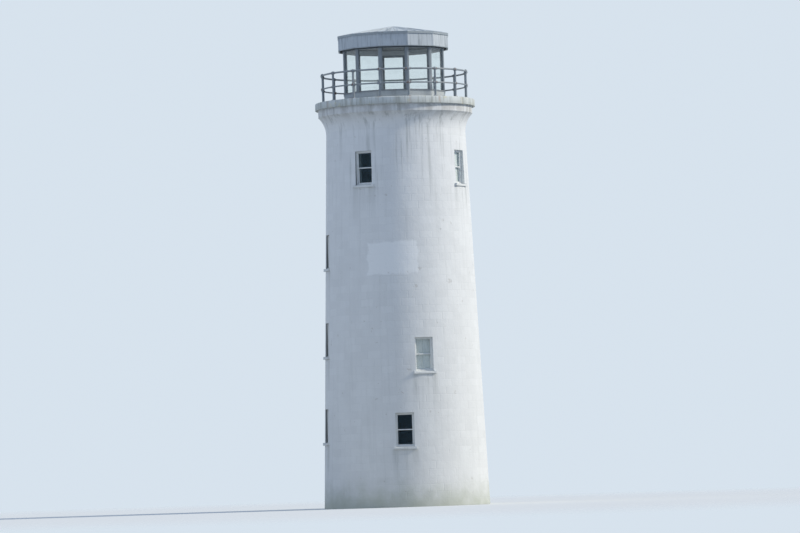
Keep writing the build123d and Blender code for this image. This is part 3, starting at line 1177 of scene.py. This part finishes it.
@dataclass
class Gallery:
    """The gallery's deck: jointed slabs with a rounded nosing, and the lantern room's floor."""

    slab_count: int = 16
    joint: float = 0.008
    slab_steps: int = 8
    inner_radius: float = 1.98
    nosing_radius: float = 0.05
    fall: float = 0.008
    fall_start: float = 0.16
    drip_inset: float = 0.07
    drip_half: float = 0.012
    drip_depth: float = 0.014
    arris: float = 0.01
    mortar_inset: float = 0.005
    floor_ease: float = 0.006
    low: float = field(init=False)
    top: float = field(init=False)
    radius: float = field(init=False)

    def __post_init__(self) -> None:
        """Take the deck's levels and radius from its node."""
        low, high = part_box("gallery_deck")
        self.low, self.top, self.radius = low.z, high.z, high.x

    def section(self, inset: float) -> Section:
        """Draw a slab's section.

        Args:
            inset: How far the section lies inside the slab's own.

        Returns:
            Its points, each a radius and a height.
        """
        edge = self.radius - inset
        low, top = self.low + inset, self.top - inset
        drip = edge - self.drip_inset
        nosing = [
            (
                edge - self.nosing_radius * (1 - math.sin(math.radians(angle))),
                top - self.fall - self.nosing_radius * (1 - math.cos(math.radians(angle))),
            )
            for angle in range(90, -1, -18)
        ]
        return [
            (self.inner_radius, low),
            (drip - 2 * self.drip_half, low),
            (drip - self.drip_half, low + self.drip_depth),
            (drip, low),
            (edge - self.arris, low),
            (edge, low + self.arris),
            *nosing,
            (edge - self.fall_start, top),
            (self.inner_radius, top),
        ]

    def build(self) -> None:
        """Build the slabs, their mortar and the lantern room's floor."""
        slabs, mortar, floor = Shape(), Shape(), Shape()
        pitch = math.tau / self.slab_count
        gap = self.joint / self.radius
        for index in range(self.slab_count):
            start = index * pitch
            slabs.arc(self.section(0.0), start + gap / 2, start + pitch - gap / 2, self.slab_steps)
        slabs.fit(
            "gallery_slabs", Paints.GALLERY.value, "gallery_stone", ("gallery_deck",), bevel=0.003
        )
        mortar.arc(self.section(self.mortar_inset), 0.0, math.tau, self.slab_count * self.slab_steps)
        mortar.fit("gallery_mortar", Paints.MORTAR.value, "gallery_stone")
        edge, thickness = self.inner_radius - self.joint, self.top - self.low
        rim = ((0.0, edge), (thickness - self.floor_ease, edge), (thickness, edge - self.floor_ease))
        floor.stack(UP * self.low, UP, rim, 96)
        floor.fit("lantern_floor", Paints.CONCRETE.value, "gallery_stone")


@dataclass
class Railing:
    """The gallery's railing: the CAD posts and rails, bolted down."""

    bolts: int = 4
    bolt_circle: float = 0.069
    bolt_radius: float = 0.0115
    bolt_height: float = 0.011
    washer_radius: float = 0.018
    washer_height: float = 0.003
    foot_thickness: float = 0.018
    screw: Section = ((-0.01, 0.008), (0.003, 0.008), (0.005, 0.0056))
    collar: Section = ((0.0, 0.062), (0.012, 0.062), (0.03, 0.05), (0.04, 0.0455), (0.044, 0.044))
    collar_sunk: float = 0.002
    rail_circle: float = 2.98
    ball_radius: float = 0.072

    def build(self) -> None:
        """Dress the railing and add its bolts, set screws and foot collars."""
        paint = Paints.RAIL.value
        dress(paint, "gallery_posts", "gallery_top_rail", "gallery_middle_rail")
        fixings, collars = Shape(), Shape()
        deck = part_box("gallery_posts")[0].z
        for post in solids_of("gallery_posts"):
            foot = Place(post.place.bearing, self.rail_circle, deck + self.foot_thickness)
            for index in range(self.bolts):
                angle = math.tau * (index + 0.5) / self.bolts
                across, inward = self.bolt_circle * math.cos(angle), self.bolt_circle * math.sin(angle)
                self.bolt(fixings, foot.at(across, inward, 0.0), angle)
            self.set_screws(fixings, outward(foot.bearing))
            collars.stack(foot.at(0.0, 0.0, -self.collar_sunk), UP, self.collar, 20)
        fixings.fit("railing_fixings", paint, "railing_iron", smooth=25.0)
        collars.fit("railing_foot_collars", paint, "railing_iron", smooth=50.0)

    def set_screws(self, shape: Shape, away: Vector) -> None:
        """Add the set screws on the outer and inner side of a post's balls.

        Args:
            shape: The shape that takes them.
            away: Direction from the tower's axis to the post.
        """
        for level in RAIL_LEVELS:
            ball = away * self.rail_circle + UP * level
            for way in (-1, 1):
                shape.stack(ball + away * self.ball_radius * way, away * way, self.screw, 8)

    def bolt(self, shape: Shape, spot: Vector, turn: float) -> None:
        """Add a washer and a hexagon bolt head.

        Args:
            shape: The shape that takes them.
            spot: Where the washer lies.
            turn: Angle that the bolt's flats are turned by.
        """
        washer, head = self.washer_height, self.bolt_height
        shape.stack(spot, UP, ((-0.001, self.washer_radius), (washer, self.washer_radius)), 14)
        steps = (
            (washer - 0.0005, self.bolt_radius),
            (washer + head * 0.8, self.bolt_radius),
            (washer + head, self.bolt_radius * 0.86),
        )
        shape.stack(spot, UP, steps, 6, turn)


@dataclass
class SashWindows:
    """Eleven sash windows: sills, box frames, sashes, glass, pointing and a few closed shutters."""

    frames: list[Solid]
    face: float = 0.045
    sash_face: float = 0.042
    sash_depth: float = 0.038
    sash_inset: float = 0.022
    play: float = 0.0003
    horn_length: float = 0.06
    stool: float = 0.088
    stool_slant: float = 0.012
    slope: float = 0.024
    pointing: Section = ((0.0, 0.001), (0.0, -0.02), (0.006, -0.011), (0.016, 0.001))
    shuttered: tuple[float, ...] = (16.0, 62.0)
    shutter_depths: Span = (0.008, 0.026)
    shutter_gap: float = 0.004
    panel_rows: Section = ((-0.31, 0.6), (0.335, 0.55))
    panel_mould: Section = (
        (0.0, 0.009),
        (0.0, 0.002),
        (0.01, 0.0),
        (0.05, 0.0),
        (0.058, 0.004),
        (0.062, 0.009),
    )

    def frame_section(self, depth: float) -> Section:
        """Draw the box frame's section, with a staff bead on its outer edge.

        Args:
            depth: The frame's depth.

        Returns:
            Its points, each a distance in from the frame's edge and inward.
        """
        face = self.face
        return [
            (0.0, 0.0),
            (face - 0.014, 0.0),
            (face - 0.012, 0.004),
            (face - 0.005, 0.006),
            (face - 0.001, 0.012),
            (face, 0.02),
            (face, depth),
            (0.0, depth),
        ]

    def sash_section(self) -> Section:
        """Draw a sash's section: putty outside, an ovolo inside and a rebate for the glass.

        Returns:
            Its points, each a distance in from the sash's edge and inward.
        """
        face, depth = self.sash_face, self.sash_depth
        return [
            (0.0, 0.0),
            (face - 0.015, 0.0),
            (face - 0.013, 0.002),
            (face, 0.0145),
            (face, 0.024),
            (face - 0.003, 0.031),
            (face - 0.009, 0.036),
            (face - 0.011, depth),
            (0.0, depth),
        ]

    def sill_section(self, stone: Solid, fall: float) -> Section:
        """Draw a sill's section, with a throat below.

        Args:
            stone: The CAD sill.
            fall: How far its top falls outward.

        Returns:
            Its points, each a distance inward and a height.
        """
        deep, low, high = stone.depth, -stone.height / 2, stone.height / 2
        return [
            (0.003, low),
            (0.02, low),
            (0.024, low + 0.011),
            (0.036, low + 0.011),
            (0.04, low),
            (deep, low),
            (deep, high),
            (deep - 0.06, high),
            (0.012, high - fall),
            (0.003, high - fall - 0.004),
            (0.0, high - fall - 0.012),
            (0.0, low + 0.004),
        ]

    def horn(self, shape: Shape, place: Place, centre: float, foot: float) -> None:
        """Add the shaped end of a stile below its meeting rail.

        Args:
            shape: The shape that takes it.
            place: The sash's outer face.
            centre: The stile's middle, across.
            foot: Height of the meeting rail's underside.
        """
        half, drop = math.copysign(self.sash_face / 2, centre), self.horn_length
        outline = (
            (half, 0.004),
            (half, -drop),
            (half * 0.4, -drop * 0.97),
            (0.0, -drop * 0.8),
            (-half * 0.15, -drop * 0.5),
            (-half * 0.7, -drop * 0.3),
            (-half, -drop * 0.12),
            (-half, 0.004),
        )
        shape.loft(
            [
                [place.at(centre + x, y, foot + z) for x, z in outline]
                for y in (0.004, self.sash_depth - 0.006)
            ]
        )

    def sill(self, shape: Shape, stone: Solid) -> None:
        """Cut a weathered stone sill with level stools at its ends and a drip below.

        Args:
            shape: The shape that takes it.
            stone: The CAD sill.
        """
        half = stone.width / 2
        inner = half - self.stool
        outer = inner + self.stool_slant
        stations = (
            (-half, 0.0),
            (-outer, 0.0),
            (-inner, self.slope),
            (inner, self.slope),
            (outer, 0.0),
            (half, 0.0),
        )
        shape.loft(
            [
                [stone.place.at(x, y, z) for y, z in self.sill_section(stone, fall)]
                for x, fall in stations
            ]
        )

    def shutters(self, shape: Shape, window: Solid) -> None:
        """Hang a pair of closed panelled shutters behind a window.

        Args:
            shape: The shape that takes them.
            window: The window's frame.
        """
        back = window.place.moved(inward=window.depth)
        half = (window.width / 2 - self.shutter_gap) / 2 - 0.001
        top = window.height / 2 - self.shutter_gap
        for way in (-1, 1):
            middle = way * window.width / 4
            shape.block(back, (middle - half, middle + half), self.shutter_depths, (-top, top))
            for centre, height in self.panel_rows:
                shape.mitred(back.moved(up=centre), 2 * half, height, self.panel_mould, middle)

    def build(self) -> None:
        """Build every window's joinery, pointing, stone and shutters."""
        frames, upper, lower, pointing = Shape(), Shape(), Shape(), Shape()
        for window in self.frames:
            place, width, height = window.place, window.width, window.height
            frames.mitred(place, width, height, self.frame_section(window.depth))
            space_width = width - 2 * self.face - 2 * self.play
            space_height = height - 2 * self.face
            sash_height = (space_height + self.sash_face) / 2 - self.play
            lift = (space_height - self.sash_face) / 4
            outer = place.moved(inward=self.sash_inset, up=lift)
            inner = place.moved(inward=self.sash_inset + self.sash_depth, up=-lift)
            upper.mitred(outer, space_width, sash_height, self.sash_section())
            lower.mitred(inner, space_width, sash_height, self.sash_section())
            stile = (space_width - self.sash_face) / 2
            for centre in (-stile, stile):
                self.horn(upper, outer, centre, -sash_height / 2)
            pointing.mitred(place, width, height, self.pointing)
        frames.fit("window_box_frames", Paints.SASH.value, "window_joinery", ("window_frames",))
        upper.fit("window_upper_sashes", Paints.SASH.value, "window_joinery", ("upper_sashes",))
        lower.fit("window_lower_sashes", Paints.SASH.value, "window_joinery", ("lower_sashes",))
        pointing.fit("window_pointing", Paints.POINTING.value, "sill_stone")
        stones, leaves = Shape(), Shape()
        for stone in solids_of("window_sills"):
            self.sill(stones, stone)
        stones.fit("weathered_sills", Paints.SILL.value, "sill_stone", ("window_sills",), bevel=0.002)
        for window in self.frames:
            bearing = math.degrees(window.place.bearing)
            if any(abs(bearing - closed) < 1 for closed in self.shuttered):
                self.shutters(leaves, window)
        leaves.fit("window_shutters", Paints.SHUTTER.value, "window_joinery", bevel=0.0015)
        dress(Paints.WINDOW_GLASS.value, "window_panes")


@dataclass
class Entrance:
    """The doorway at the back: frame, panelled leaf, furniture and worn steps."""

    face: float = 0.07
    margin: float = 0.11
    rows: int = 3
    recess: float = 0.014
    mould_sunk: float = 0.001
    raised_margin: float = 0.07
    raised: Section = ((0.105, 0.004), (0.11, 0.003))
    plate_drop: float = 0.09
    plate_width: float = 0.26
    plate_height: float = 0.075
    plate_edge: Section = (
        (0.0, 0.001),
        (0.0, -0.003),
        (0.004, -0.006),
        (0.014, -0.006),
        (0.016, -0.004),
        (0.016, 0.001),
    )
    flap_half: Span = (0.115, 0.023)
    flap_depths: Span = (-0.004, 0.0005)
    flight: int = 2
    nosing: Section = ((0.0, 0.03), (0.004, 0.014), (0.014, 0.004), (0.03, 0.0))
    wear: float = 0.009
    wear_share: float = 0.36
    wear_eases: float = 0.2
    wear_ends: float = 0.32
    wear_steps: int = 12

    def build(self) -> None:
        """Build the doorway's joinery, furniture and steps."""
        doorway = solids_of("entrance_door_frame")[0]
        lining = Shape()
        foot = doorway.place.moved(up=-doorway.height / 2)
        section = self.lining_section(doorway.depth)
        lining.portal(foot, doorway.width, doorway.height, section)
        lining.fit("door_lining", Paints.SASH.value, "window_joinery", ("entrance_door_frame",))
        dress(Paints.DOOR.value, "entrance_door")
        dress(Paints.BRASS.value, "door_furniture")
        leaf = solids_of("entrance_door")[0]
        self.panels(leaf)
        self.letter_plate(leaf)
        self.steps()

    def lining_section(self, depth: float) -> Section:
        """Draw the door lining's moulded section.

        Args:
            depth: The lining's depth.

        Returns:
            Its points, each a distance in from the doorway's edge and inward.
        """
        face = self.face
        return [
            (0.0, 0.0),
            (face - 0.026, 0.0),
            (face - 0.022, 0.006),
            (face - 0.01, 0.01),
            (face - 0.002, 0.02),
            (face, 0.032),
            (face, depth),
            (0.0, depth),
        ]

    def panels(self, leaf: Solid) -> None:
        """Plant mouldings and raised fields in the leaf's recesses.

        Args:
            leaf: The CAD leaf.
        """
        trim = Shape()
        pitch = (leaf.height - self.margin) / self.rows
        width, height = leaf.width - 2 * self.margin, pitch - self.margin
        deep = self.recess + self.mould_sunk
        moulding = (
            (0.0, deep),
            (0.0, -0.006),
            (0.008, -0.008),
            (0.016, -0.003),
            (0.022, 0.006),
            (0.034, deep),
        )
        for row in range(self.rows):
            place = leaf.place.moved(up=(row - (self.rows - 1) / 2) * pitch)
            trim.mitred(place, width, height, moulding)
            rings = []
            for inset, inward in ((self.raised_margin, deep), *self.raised):
                x, z = width / 2 - inset, height / 2 - inset
                rings.append([place.at(right * x, inward, top * z) for right, top in CORNERS])
            trim.loft(rings)
        trim.fit("door_mouldings", Paints.DOOR.value, "door_paint")

    def letter_plate(self, leaf: Solid) -> None:
        """Fit the letter plate and its flap between two rows of panels.

        Args:
            leaf: The CAD leaf.
        """
        fittings = Shape()
        plate = leaf.place.moved(up=-self.plate_drop)
        fittings.mitred(plate, self.plate_width, self.plate_height, self.plate_edge)
        x, z = self.flap_half
        fittings.block(plate, (-x, x), self.flap_depths, (-z, z))
        fittings.fit("letter_plate", Paints.BRASS.value, "door_brass", bevel=0.001)

    def steps(self) -> None:
        """Cut the steps with rounded nosings, their treads worn hollow in the middle."""
        low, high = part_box("entrance_steps")
        width, back = high.x - low.x, high.y - low.y
        rise = high.z / self.flight
        tread = (high.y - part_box("ground_wall_back")[1].y) / self.flight
        front = Place(math.pi, high.y, 0.0)
        treads = Shape()
        for step in range(self.flight):
            top, edge = rise * (step + 1), tread * step
            rings = []
            for index in range(self.wear_steps + 1):
                across = width * (index / self.wear_steps - 0.5)
                wear = self.wear * max(0.0, 1 - (across / (width * self.wear_share)) ** 2)
                outline = (
                    (edge, top - rise),
                    *((edge + inward, top - down - wear) for inward, down in self.nosing),
                    (edge + self.wear_eases, top - wear * 0.7),
                    (edge + self.wear_ends, top),
                    (back, top),
                    (back, top - rise),
                )
                rings.append([front.at(across, inward, up) for inward, up in outline])
            treads.loft(rings)
        treads.fit("worn_steps", Paints.STEP.value, "step_stone", ("entrance_steps",))


@dataclass
class ManySided:
    """A plan of equal flat sides round the tower's axis, one of them square to the front."""

    sides: int = 12

    @property
    def half(self) -> float:
        """Half the angle that one side fills."""
        return math.pi / self.sides

    def corners(self) -> list[float]:
        """List the bearings of the plan's corners."""
        return [(index + 0.5) * math.tau / self.sides for index in range(self.sides)]

    def corner_ring(
        self, bearing: float, outer: float, inner: float, reach: float, level: float
    ) -> Ring:
        """Draw in plan what wraps a corner.

        Args:
            bearing: The corner's bearing.
            outer: Distance from the axis to its outer faces.
            inner: Distance from the axis to its inner faces.
            reach: Distance from the middle of each side to its ends.
            level: Height of the ring.

        Returns:
            The ring's points.
        """
        right, left = bearing + self.half, bearing - self.half
        points = (
            outward(bearing) * (outer / math.cos(self.half)),
            outward(right) * outer - sideways(right) * reach,
            outward(right) * inner - sideways(right) * reach,
            outward(bearing) * (inner / math.cos(self.half)),
            outward(left) * inner + sideways(left) * reach,
            outward(left) * outer + sideways(left) * reach,
        )
        return [point + UP * level for point in points]


@dataclass
class Lantern(ManySided):
    """The twelve-sided lantern room: base wall, posts, beads, glass and the gallery's door."""

    face: float = 0.085
    depth: float = 0.13
    shoe_height: float = 0.07
    shoe_slant: float = 0.02
    shoe_swell: float = 0.008
    shoe_proud: float = 0.6
    bead: float = 0.018
    door_rail: float = 0.07
    door_kick: float = 0.38
    door_bearing: float = math.pi
    pane_thickness: float = 0.012
    kick_margin: float = 0.05
    kick_mould: Section = (
        (0.0, 0.001),
        (0.0, -0.005),
        (0.008, -0.008),
        (0.018, -0.003),
        (0.024, 0.001),
    )
    hinge_levels: tuple[float, ...] = (-0.78, 0.0, 0.78)
    hinge: Section = ((-0.006, 0.005), (0.0, 0.009), (0.12, 0.009), (0.126, 0.005))
    hinge_half: float = 0.06
    hinge_clear: float = 0.004
    hinge_proud: float = 0.006
    rose: Section = (
        (0.0, 0.024),
        (0.006, 0.024),
        (0.009, 0.018),
        (0.009, 0.009),
        (0.045, 0.009),
        (0.048, 0.006),
    )
    rose_sunk: float = 0.001
    lever_level: float = 0.02
    lever_radius: float = 0.008
    lever_pitch: float = 0.03
    lever_proud: float = 0.038
    lever_sway: float = 0.004

    def build(self) -> None:
        """Build the lantern's posts, beads and door fittings, and dress the rest."""
        dress(Paints.PLINTH.value, "lantern_base_wall")
        dress(Paints.LANTERN.value, "lantern_sill", "lantern_door")
        dress(Paints.HEAD.value, "lantern_head")
        dress(Paints.LANTERN_GLASS.value, "lantern_panes")
        self.posts()
        self.beads()
        self.door()

    def posts(self) -> None:
        """Stand the corner posts on shoes, which their heads repeat."""
        low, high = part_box("lantern_posts")
        foot, head, apothem = low.z, high.z, high.y
        shoe, slant, swell = self.shoe_height, self.shoe_slant, self.shoe_swell
        profile = (
            (foot, swell),
            (foot + shoe, swell),
            (foot + shoe + slant, 0.0),
            (head - shoe - slant, 0.0),
            (head - shoe, swell),
            (head, swell),
        )
        posts = Shape()
        for bearing in self.corners():
            rings = []
            for level, more in profile:
                outer = apothem + more * self.shoe_proud
                inner = outer - self.depth - more
                reach = outer * math.tan(self.half) - self.face - more
                rings.append(self.corner_ring(bearing, outer, inner, reach, level))
            posts.loft(rings)
        posts.fit(
            "lantern_corner_posts",
            Paints.LANTERN.value,
            "lantern_metal",
            ("lantern_posts",),
            bevel=0.004,
            smooth=20.0,
        )

    def beads(self) -> None:
        """Frame every pane but the door's with glazing beads, outside and inside."""
        beads = Shape()
        size = self.bead
        outer = ((0.0, 0.0), (0.0, -size), (size * 0.4, -size), (size * 0.9, -size * 0.45), (size, 0.0))
        for pane in solids_of("lantern_panes"):
            if abs(abs(pane.place.bearing) - self.door_bearing) < 0.1:
                continue
            inner = [(u, pane.depth - y) for u, y in outer]
            for section in (outer, inner):
                beads.mitred(pane.place, pane.width, pane.height, section)
        beads.fit("lantern_glazing_beads", Paints.LANTERN.value, "lantern_metal")

    def door(self) -> None:
        """Add the gallery door's beads, kick panel, hinges and lever."""
        leaf = solids_of("lantern_door")[0]
        place, size = leaf.place, self.bead
        inner_width = leaf.width - 2 * self.door_rail
        glazed = leaf.height - self.door_kick - self.door_rail
        inset = (leaf.depth - self.pane_thickness) / 2
        fittings = Shape()
        opening = place.moved(up=-leaf.height / 2 + self.door_kick + glazed / 2)
        bead = ((0.0, inset), (0.0, 0.002), (size * 0.5, 0.003), (size, inset))
        fittings.mitred(opening, inner_width, glazed, bead)
        kick = place.moved(up=-leaf.height / 2 + self.door_kick / 2)
        fittings.mitred(kick, inner_width, self.door_kick - 2 * self.kick_margin, self.kick_mould)
        for level in self.hinge_levels:
            edge = leaf.width / 2 + self.hinge_clear
            spot = place.at(edge, -self.hinge_proud, level - self.hinge_half)
            fittings.stack(spot, UP, self.hinge, 12)
        spindle = -leaf.width / 2 + self.door_rail / 2
        rose = place.at(spindle, self.rose_sunk, self.lever_level)
        fittings.stack(rose, outward(place.bearing), self.rose, 16)
        lever = []
        for step in range(5):
            proud = self.lever_proud + self.lever_sway * math.sin(step)
            lever.append(place.at(spindle + step * self.lever_pitch, -proud, self.lever_level))
        fittings.tube(lever, self.lever_radius)
        fittings.fit("lantern_door_fittings", Paints.LANTERN.value, "lantern_metal")


@dataclass
class Roof(ManySided):
    """The low roof: ceiling, fascia, edge trim, covering, hip rolls and seams."""

    cap_radius: float = 0.11
    rib_sunk: float = 0.004
    roll_radius: float = 0.02
    roll_start: float = 0.2
    roll_stops: Span = (0.33, 0.66)
    roll_short: float = 0.01
    seam_height: float = 0.022
    seam_width: float = 0.014
    seam_top: float = 0.8
    seam_shares: Span = (-0.34, 0.34)
    seam_short: float = 0.006
    seam_clear: float = 0.06
    strip_width: float = 0.05
    strip_depth: float = 0.009
    strip_sunk: float = 0.002
    drip_depth: float = 0.012
    collar: Section = (
        (0.09, -0.03),
        (0.25, -0.03),
        (0.245, -0.012),
        (0.14, -0.002),
        (0.118, -0.001),
        (0.09, -0.012),
    )

    def build(self) -> None:
        """Dress the roof and add its rolls, seams, strips and drips."""
        dress(Paints.CEILING.value, "roof_ceiling")
        dress(Paints.ROOF.value, "roof_fascia", "roof_covering")
        dress(Paints.TRIM.value, "roof_edge")
        self.ribs()
        self.fascia_strips()
        self.drips()

    def ribs(self) -> None:
        """Run a roll down each hip and seams down each slope, from a collar round the cap."""
        low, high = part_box("roof_covering")
        apothem, eaves, cap = high.y, low.z, high.z
        corner = apothem / math.cos(self.half)
        rise = (cap - eaves) / (corner - self.cap_radius)
        near, far = self.roll_stops
        stops = (corner - self.roll_short, corner * far, corner * near, self.roll_start)
        ribs = Shape()
        for bearing in self.corners():
            path = [
                outward(bearing) * r + UP * (eaves + (corner - r) * rise - self.rib_sunk)
                for r in stops
            ]
            ribs.tube(path, self.roll_radius)
        slope = (cap - eaves) / (apothem - self.cap_radius * math.cos(self.half))
        self.seams(ribs, apothem, eaves, slope)
        ribs.arc([(r, cap + z) for r, z in self.collar], 0.0, math.tau, 48)
        ribs.fit("roof_rolls_and_seams", Paints.ROOF.value, "roof_paint", smooth=50.0)

    def seams(self, shape: Shape, apothem: float, eaves: float, rise: float) -> None:
        """Add two standing seams to each slope.

        Args:
            shape: The shape that takes them.
            apothem: Distance from the axis to the eaves.
            eaves: Height of the eaves.
            rise: The slope's rise to a metre.
        """
        wide, tall = self.seam_width / 2, self.seam_height
        outline = (
            (-wide, -self.rib_sunk),
            (wide, -self.rib_sunk),
            (wide * self.seam_top, tall),
            (-wide * self.seam_top, tall),
        )
        for index in range(self.sides):
            for share in self.seam_shares:
                foot = apothem * math.tan(self.half) * share
                head = abs(foot) / math.tan(self.half) + self.seam_clear
                rings = []
                for radius in (apothem - self.seam_short, head):
                    place = Place(2 * index * self.half, radius, eaves + (apothem - radius) * rise)
                    rings.append([place.at(foot + x, 0.0, z) for x, z in outline])
                shape.loft(rings)

    def fascia_strips(self) -> None:
        """Cover the fascia's corners with strips."""
        low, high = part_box("roof_fascia")
        apothem, trim = high.y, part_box("roof_edge")[0].z
        outer, inner = apothem + self.strip_depth, apothem - self.strip_sunk
        reach = apothem * math.tan(self.half) - self.strip_width
        strips = Shape()
        for bearing in self.corners():
            strips.loft(
                [
                    self.corner_ring(bearing, outer, inner, reach, level)
                    for level in (low.z + 0.004, trim)
                ]
            )
        strips.fit("fascia_corner_strips", Paints.ROOF.value, "roof_paint", bevel=0.002, smooth=20.0)

    def drips(self) -> None:
        """Run a drip round the foot of the fascia and one under the edge trim."""
        low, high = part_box("roof_fascia")
        edge_low, edge_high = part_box("roof_edge")
        face, foot = high.y, low.z
        rim, under = edge_high.y, edge_low.z
        fascia_drip = (
            (face - 0.001, foot),
            (face + 0.012, foot),
            (face + 0.014, foot + 0.004),
            (face + 0.012, foot + 0.03),
            (face - 0.001, foot + 0.036),
        )
        trim_drip = (
            (rim - 0.012, under + 0.001),
            (rim - 0.008, under - self.drip_depth),
            (rim - 0.001, under - self.drip_depth),
            (rim, under + 0.001),
        )
        drips = Shape()
        for section in (fascia_drip, trim_drip):
            rings = [
                [outward(bearing) * (r / math.cos(self.half)) + UP * z for r, z in section]
                for bearing in self.corners()
            ]
            drips.loft(rings, closed=True)
        drips.fit("roof_drips", Paints.TRIM.value, "roof_trim")


@dataclass(frozen=True)
class Lamp:
    """A soft sun: where it shines from and the angle that it fills, in degrees."""

    name: str
    bearing: float
    elevation: float
    strength: float
    size: float
    colour: Colour


@dataclass
class Studio:
    """The floor, the light, the backdrop's colour and the camera."""

    camera_distance: float = 197.6
    camera_height: float = 1.52
    aim_height: float = 9.8
    frame_width: float = 32.7
    sensor: float = 36.0
    lean: float = 1.8
    far_clip: float = 900.0
    floor_radius: float = 60.0
    floor_drop: float = 0.002
    fade_start: float = 22.0
    fade_end: float = 58.0
    floor_colour: Colour = (0.78, 0.79, 0.77)
    bounce_colour: Colour = (0.42, 0.42, 0.38)
    backdrop: Colour = (0.68, 0.765, 0.85)
    ambient: Colour = (0.325, 0.41, 0.57)
    lamps: tuple[Lamp, ...] = (
        Lamp("key", 88.0, 33.0, 2.85, 9.0, (1.0, 0.95, 0.855)),
        Lamp("fill", -62.0, 24.0, 0.28, 70.0, (0.86, 0.93, 1.0)),
    )

    def hang(self, lamp: Lamp) -> None:
        """Hang a lamp.

        Args:
            lamp: The lamp.
        """
        light = bpy.data.lights.new(lamp.name, "SUN")
        light.energy = lamp.strength
        light.angle = math.radians(lamp.size)
        light.color = lamp.colour
        high = math.radians(lamp.elevation)
        source = outward(math.radians(lamp.bearing)) * math.cos(high) + UP * math.sin(high)
        sun = stand(lamp.name, light)
        sun.rotation_mode = "QUATERNION"
        sun.rotation_quaternion = source.to_track_quat("Z", "Y")

    def floor(self) -> None:
        """Lay a round pale floor whose rim fades into the backdrop."""
        mesh = bmesh.new()
        bmesh.ops.create_circle(mesh, cap_ends=True, radius=self.floor_radius, segments=96)
        data = bpy.data.meshes.new("studio_floor")
        mesh.to_mesh(data)
        mesh.free()
        material = bpy.data.materials.new("studio_floor")
        graph = Graph(material)
        colour = graph.mix(graph.looked_at(), self.bounce_colour, self.floor_colour)
        pale = graph.node("ShaderNodeBsdfDiffuse", {"Color": colour})
        clear = graph.node("ShaderNodeBsdfTransparent")
        fade = graph.band(graph.length(graph.position), self.fade_start, self.fade_end)
        graph.close(graph.cover(fade, pale, clear))
        data.materials.append(material)
        floor = stand("studio_floor", data)
        floor.location.z = -self.floor_drop

    def world(self) -> None:
        """Light the scene evenly and show the backdrop's plain colour."""
        world = bpy.data.worlds.new("studio")
        bpy.context.scene.world = world
        graph = Graph(world, "ShaderNodeOutputWorld")
        shown, lit = (
            graph.node("ShaderNodeBackground", {"Color": (*colour, 1.0)})
            for colour in (self.backdrop, self.ambient)
        )
        graph.close(graph.cover(graph.looked_at(), lit, shown))

    def camera(self) -> None:
        """Set the camera far off at eye height, with the photograph's slight lean."""
        data = bpy.data.cameras.new("camera")
        spot = Vector((0.0, -self.camera_distance, self.camera_height))
        aim = UP * self.aim_height - spot
        data.sensor_width = self.sensor
        data.lens = self.sensor * aim.length / self.frame_width
        data.clip_end = self.far_clip
        camera = stand("camera", data)
        camera.location = spot
        camera.rotation_mode = "QUATERNION"
        tilt = Quaternion((0.0, 0.0, 1.0), -math.radians(self.lean))
        camera.rotation_quaternion = aim.to_track_quat("-Z", "Y") @ tilt
        bpy.context.scene.camera = camera

    def build(self) -> None:
        """Set up the floor, the light and the camera."""
        bpy.context.scene.view_settings.view_transform = "Standard"
        self.floor()
        self.world()
        for lamp in self.lamps:
            self.hang(lamp)
        self.camera()
        LOG.info("studio: floor, %d suns, backdrop and camera", len(self.lamps))


def main() -> None:
    """Build the tower's sub-assemblies in order."""
    logging.basicConfig(level=logging.INFO, format="%(message)s")
    windows = solids_of("window_frames")
    Studio().build()
    for assembly in (
        Shaft(windows),
        Gallery(),
        Railing(),
        SashWindows(windows),
        Entrance(),
        Lantern(),
        Roof(),
    ):
        assembly.build()
        LOG.info("%s done", type(assembly).__name__)


if __name__ == "__main__":
    main()
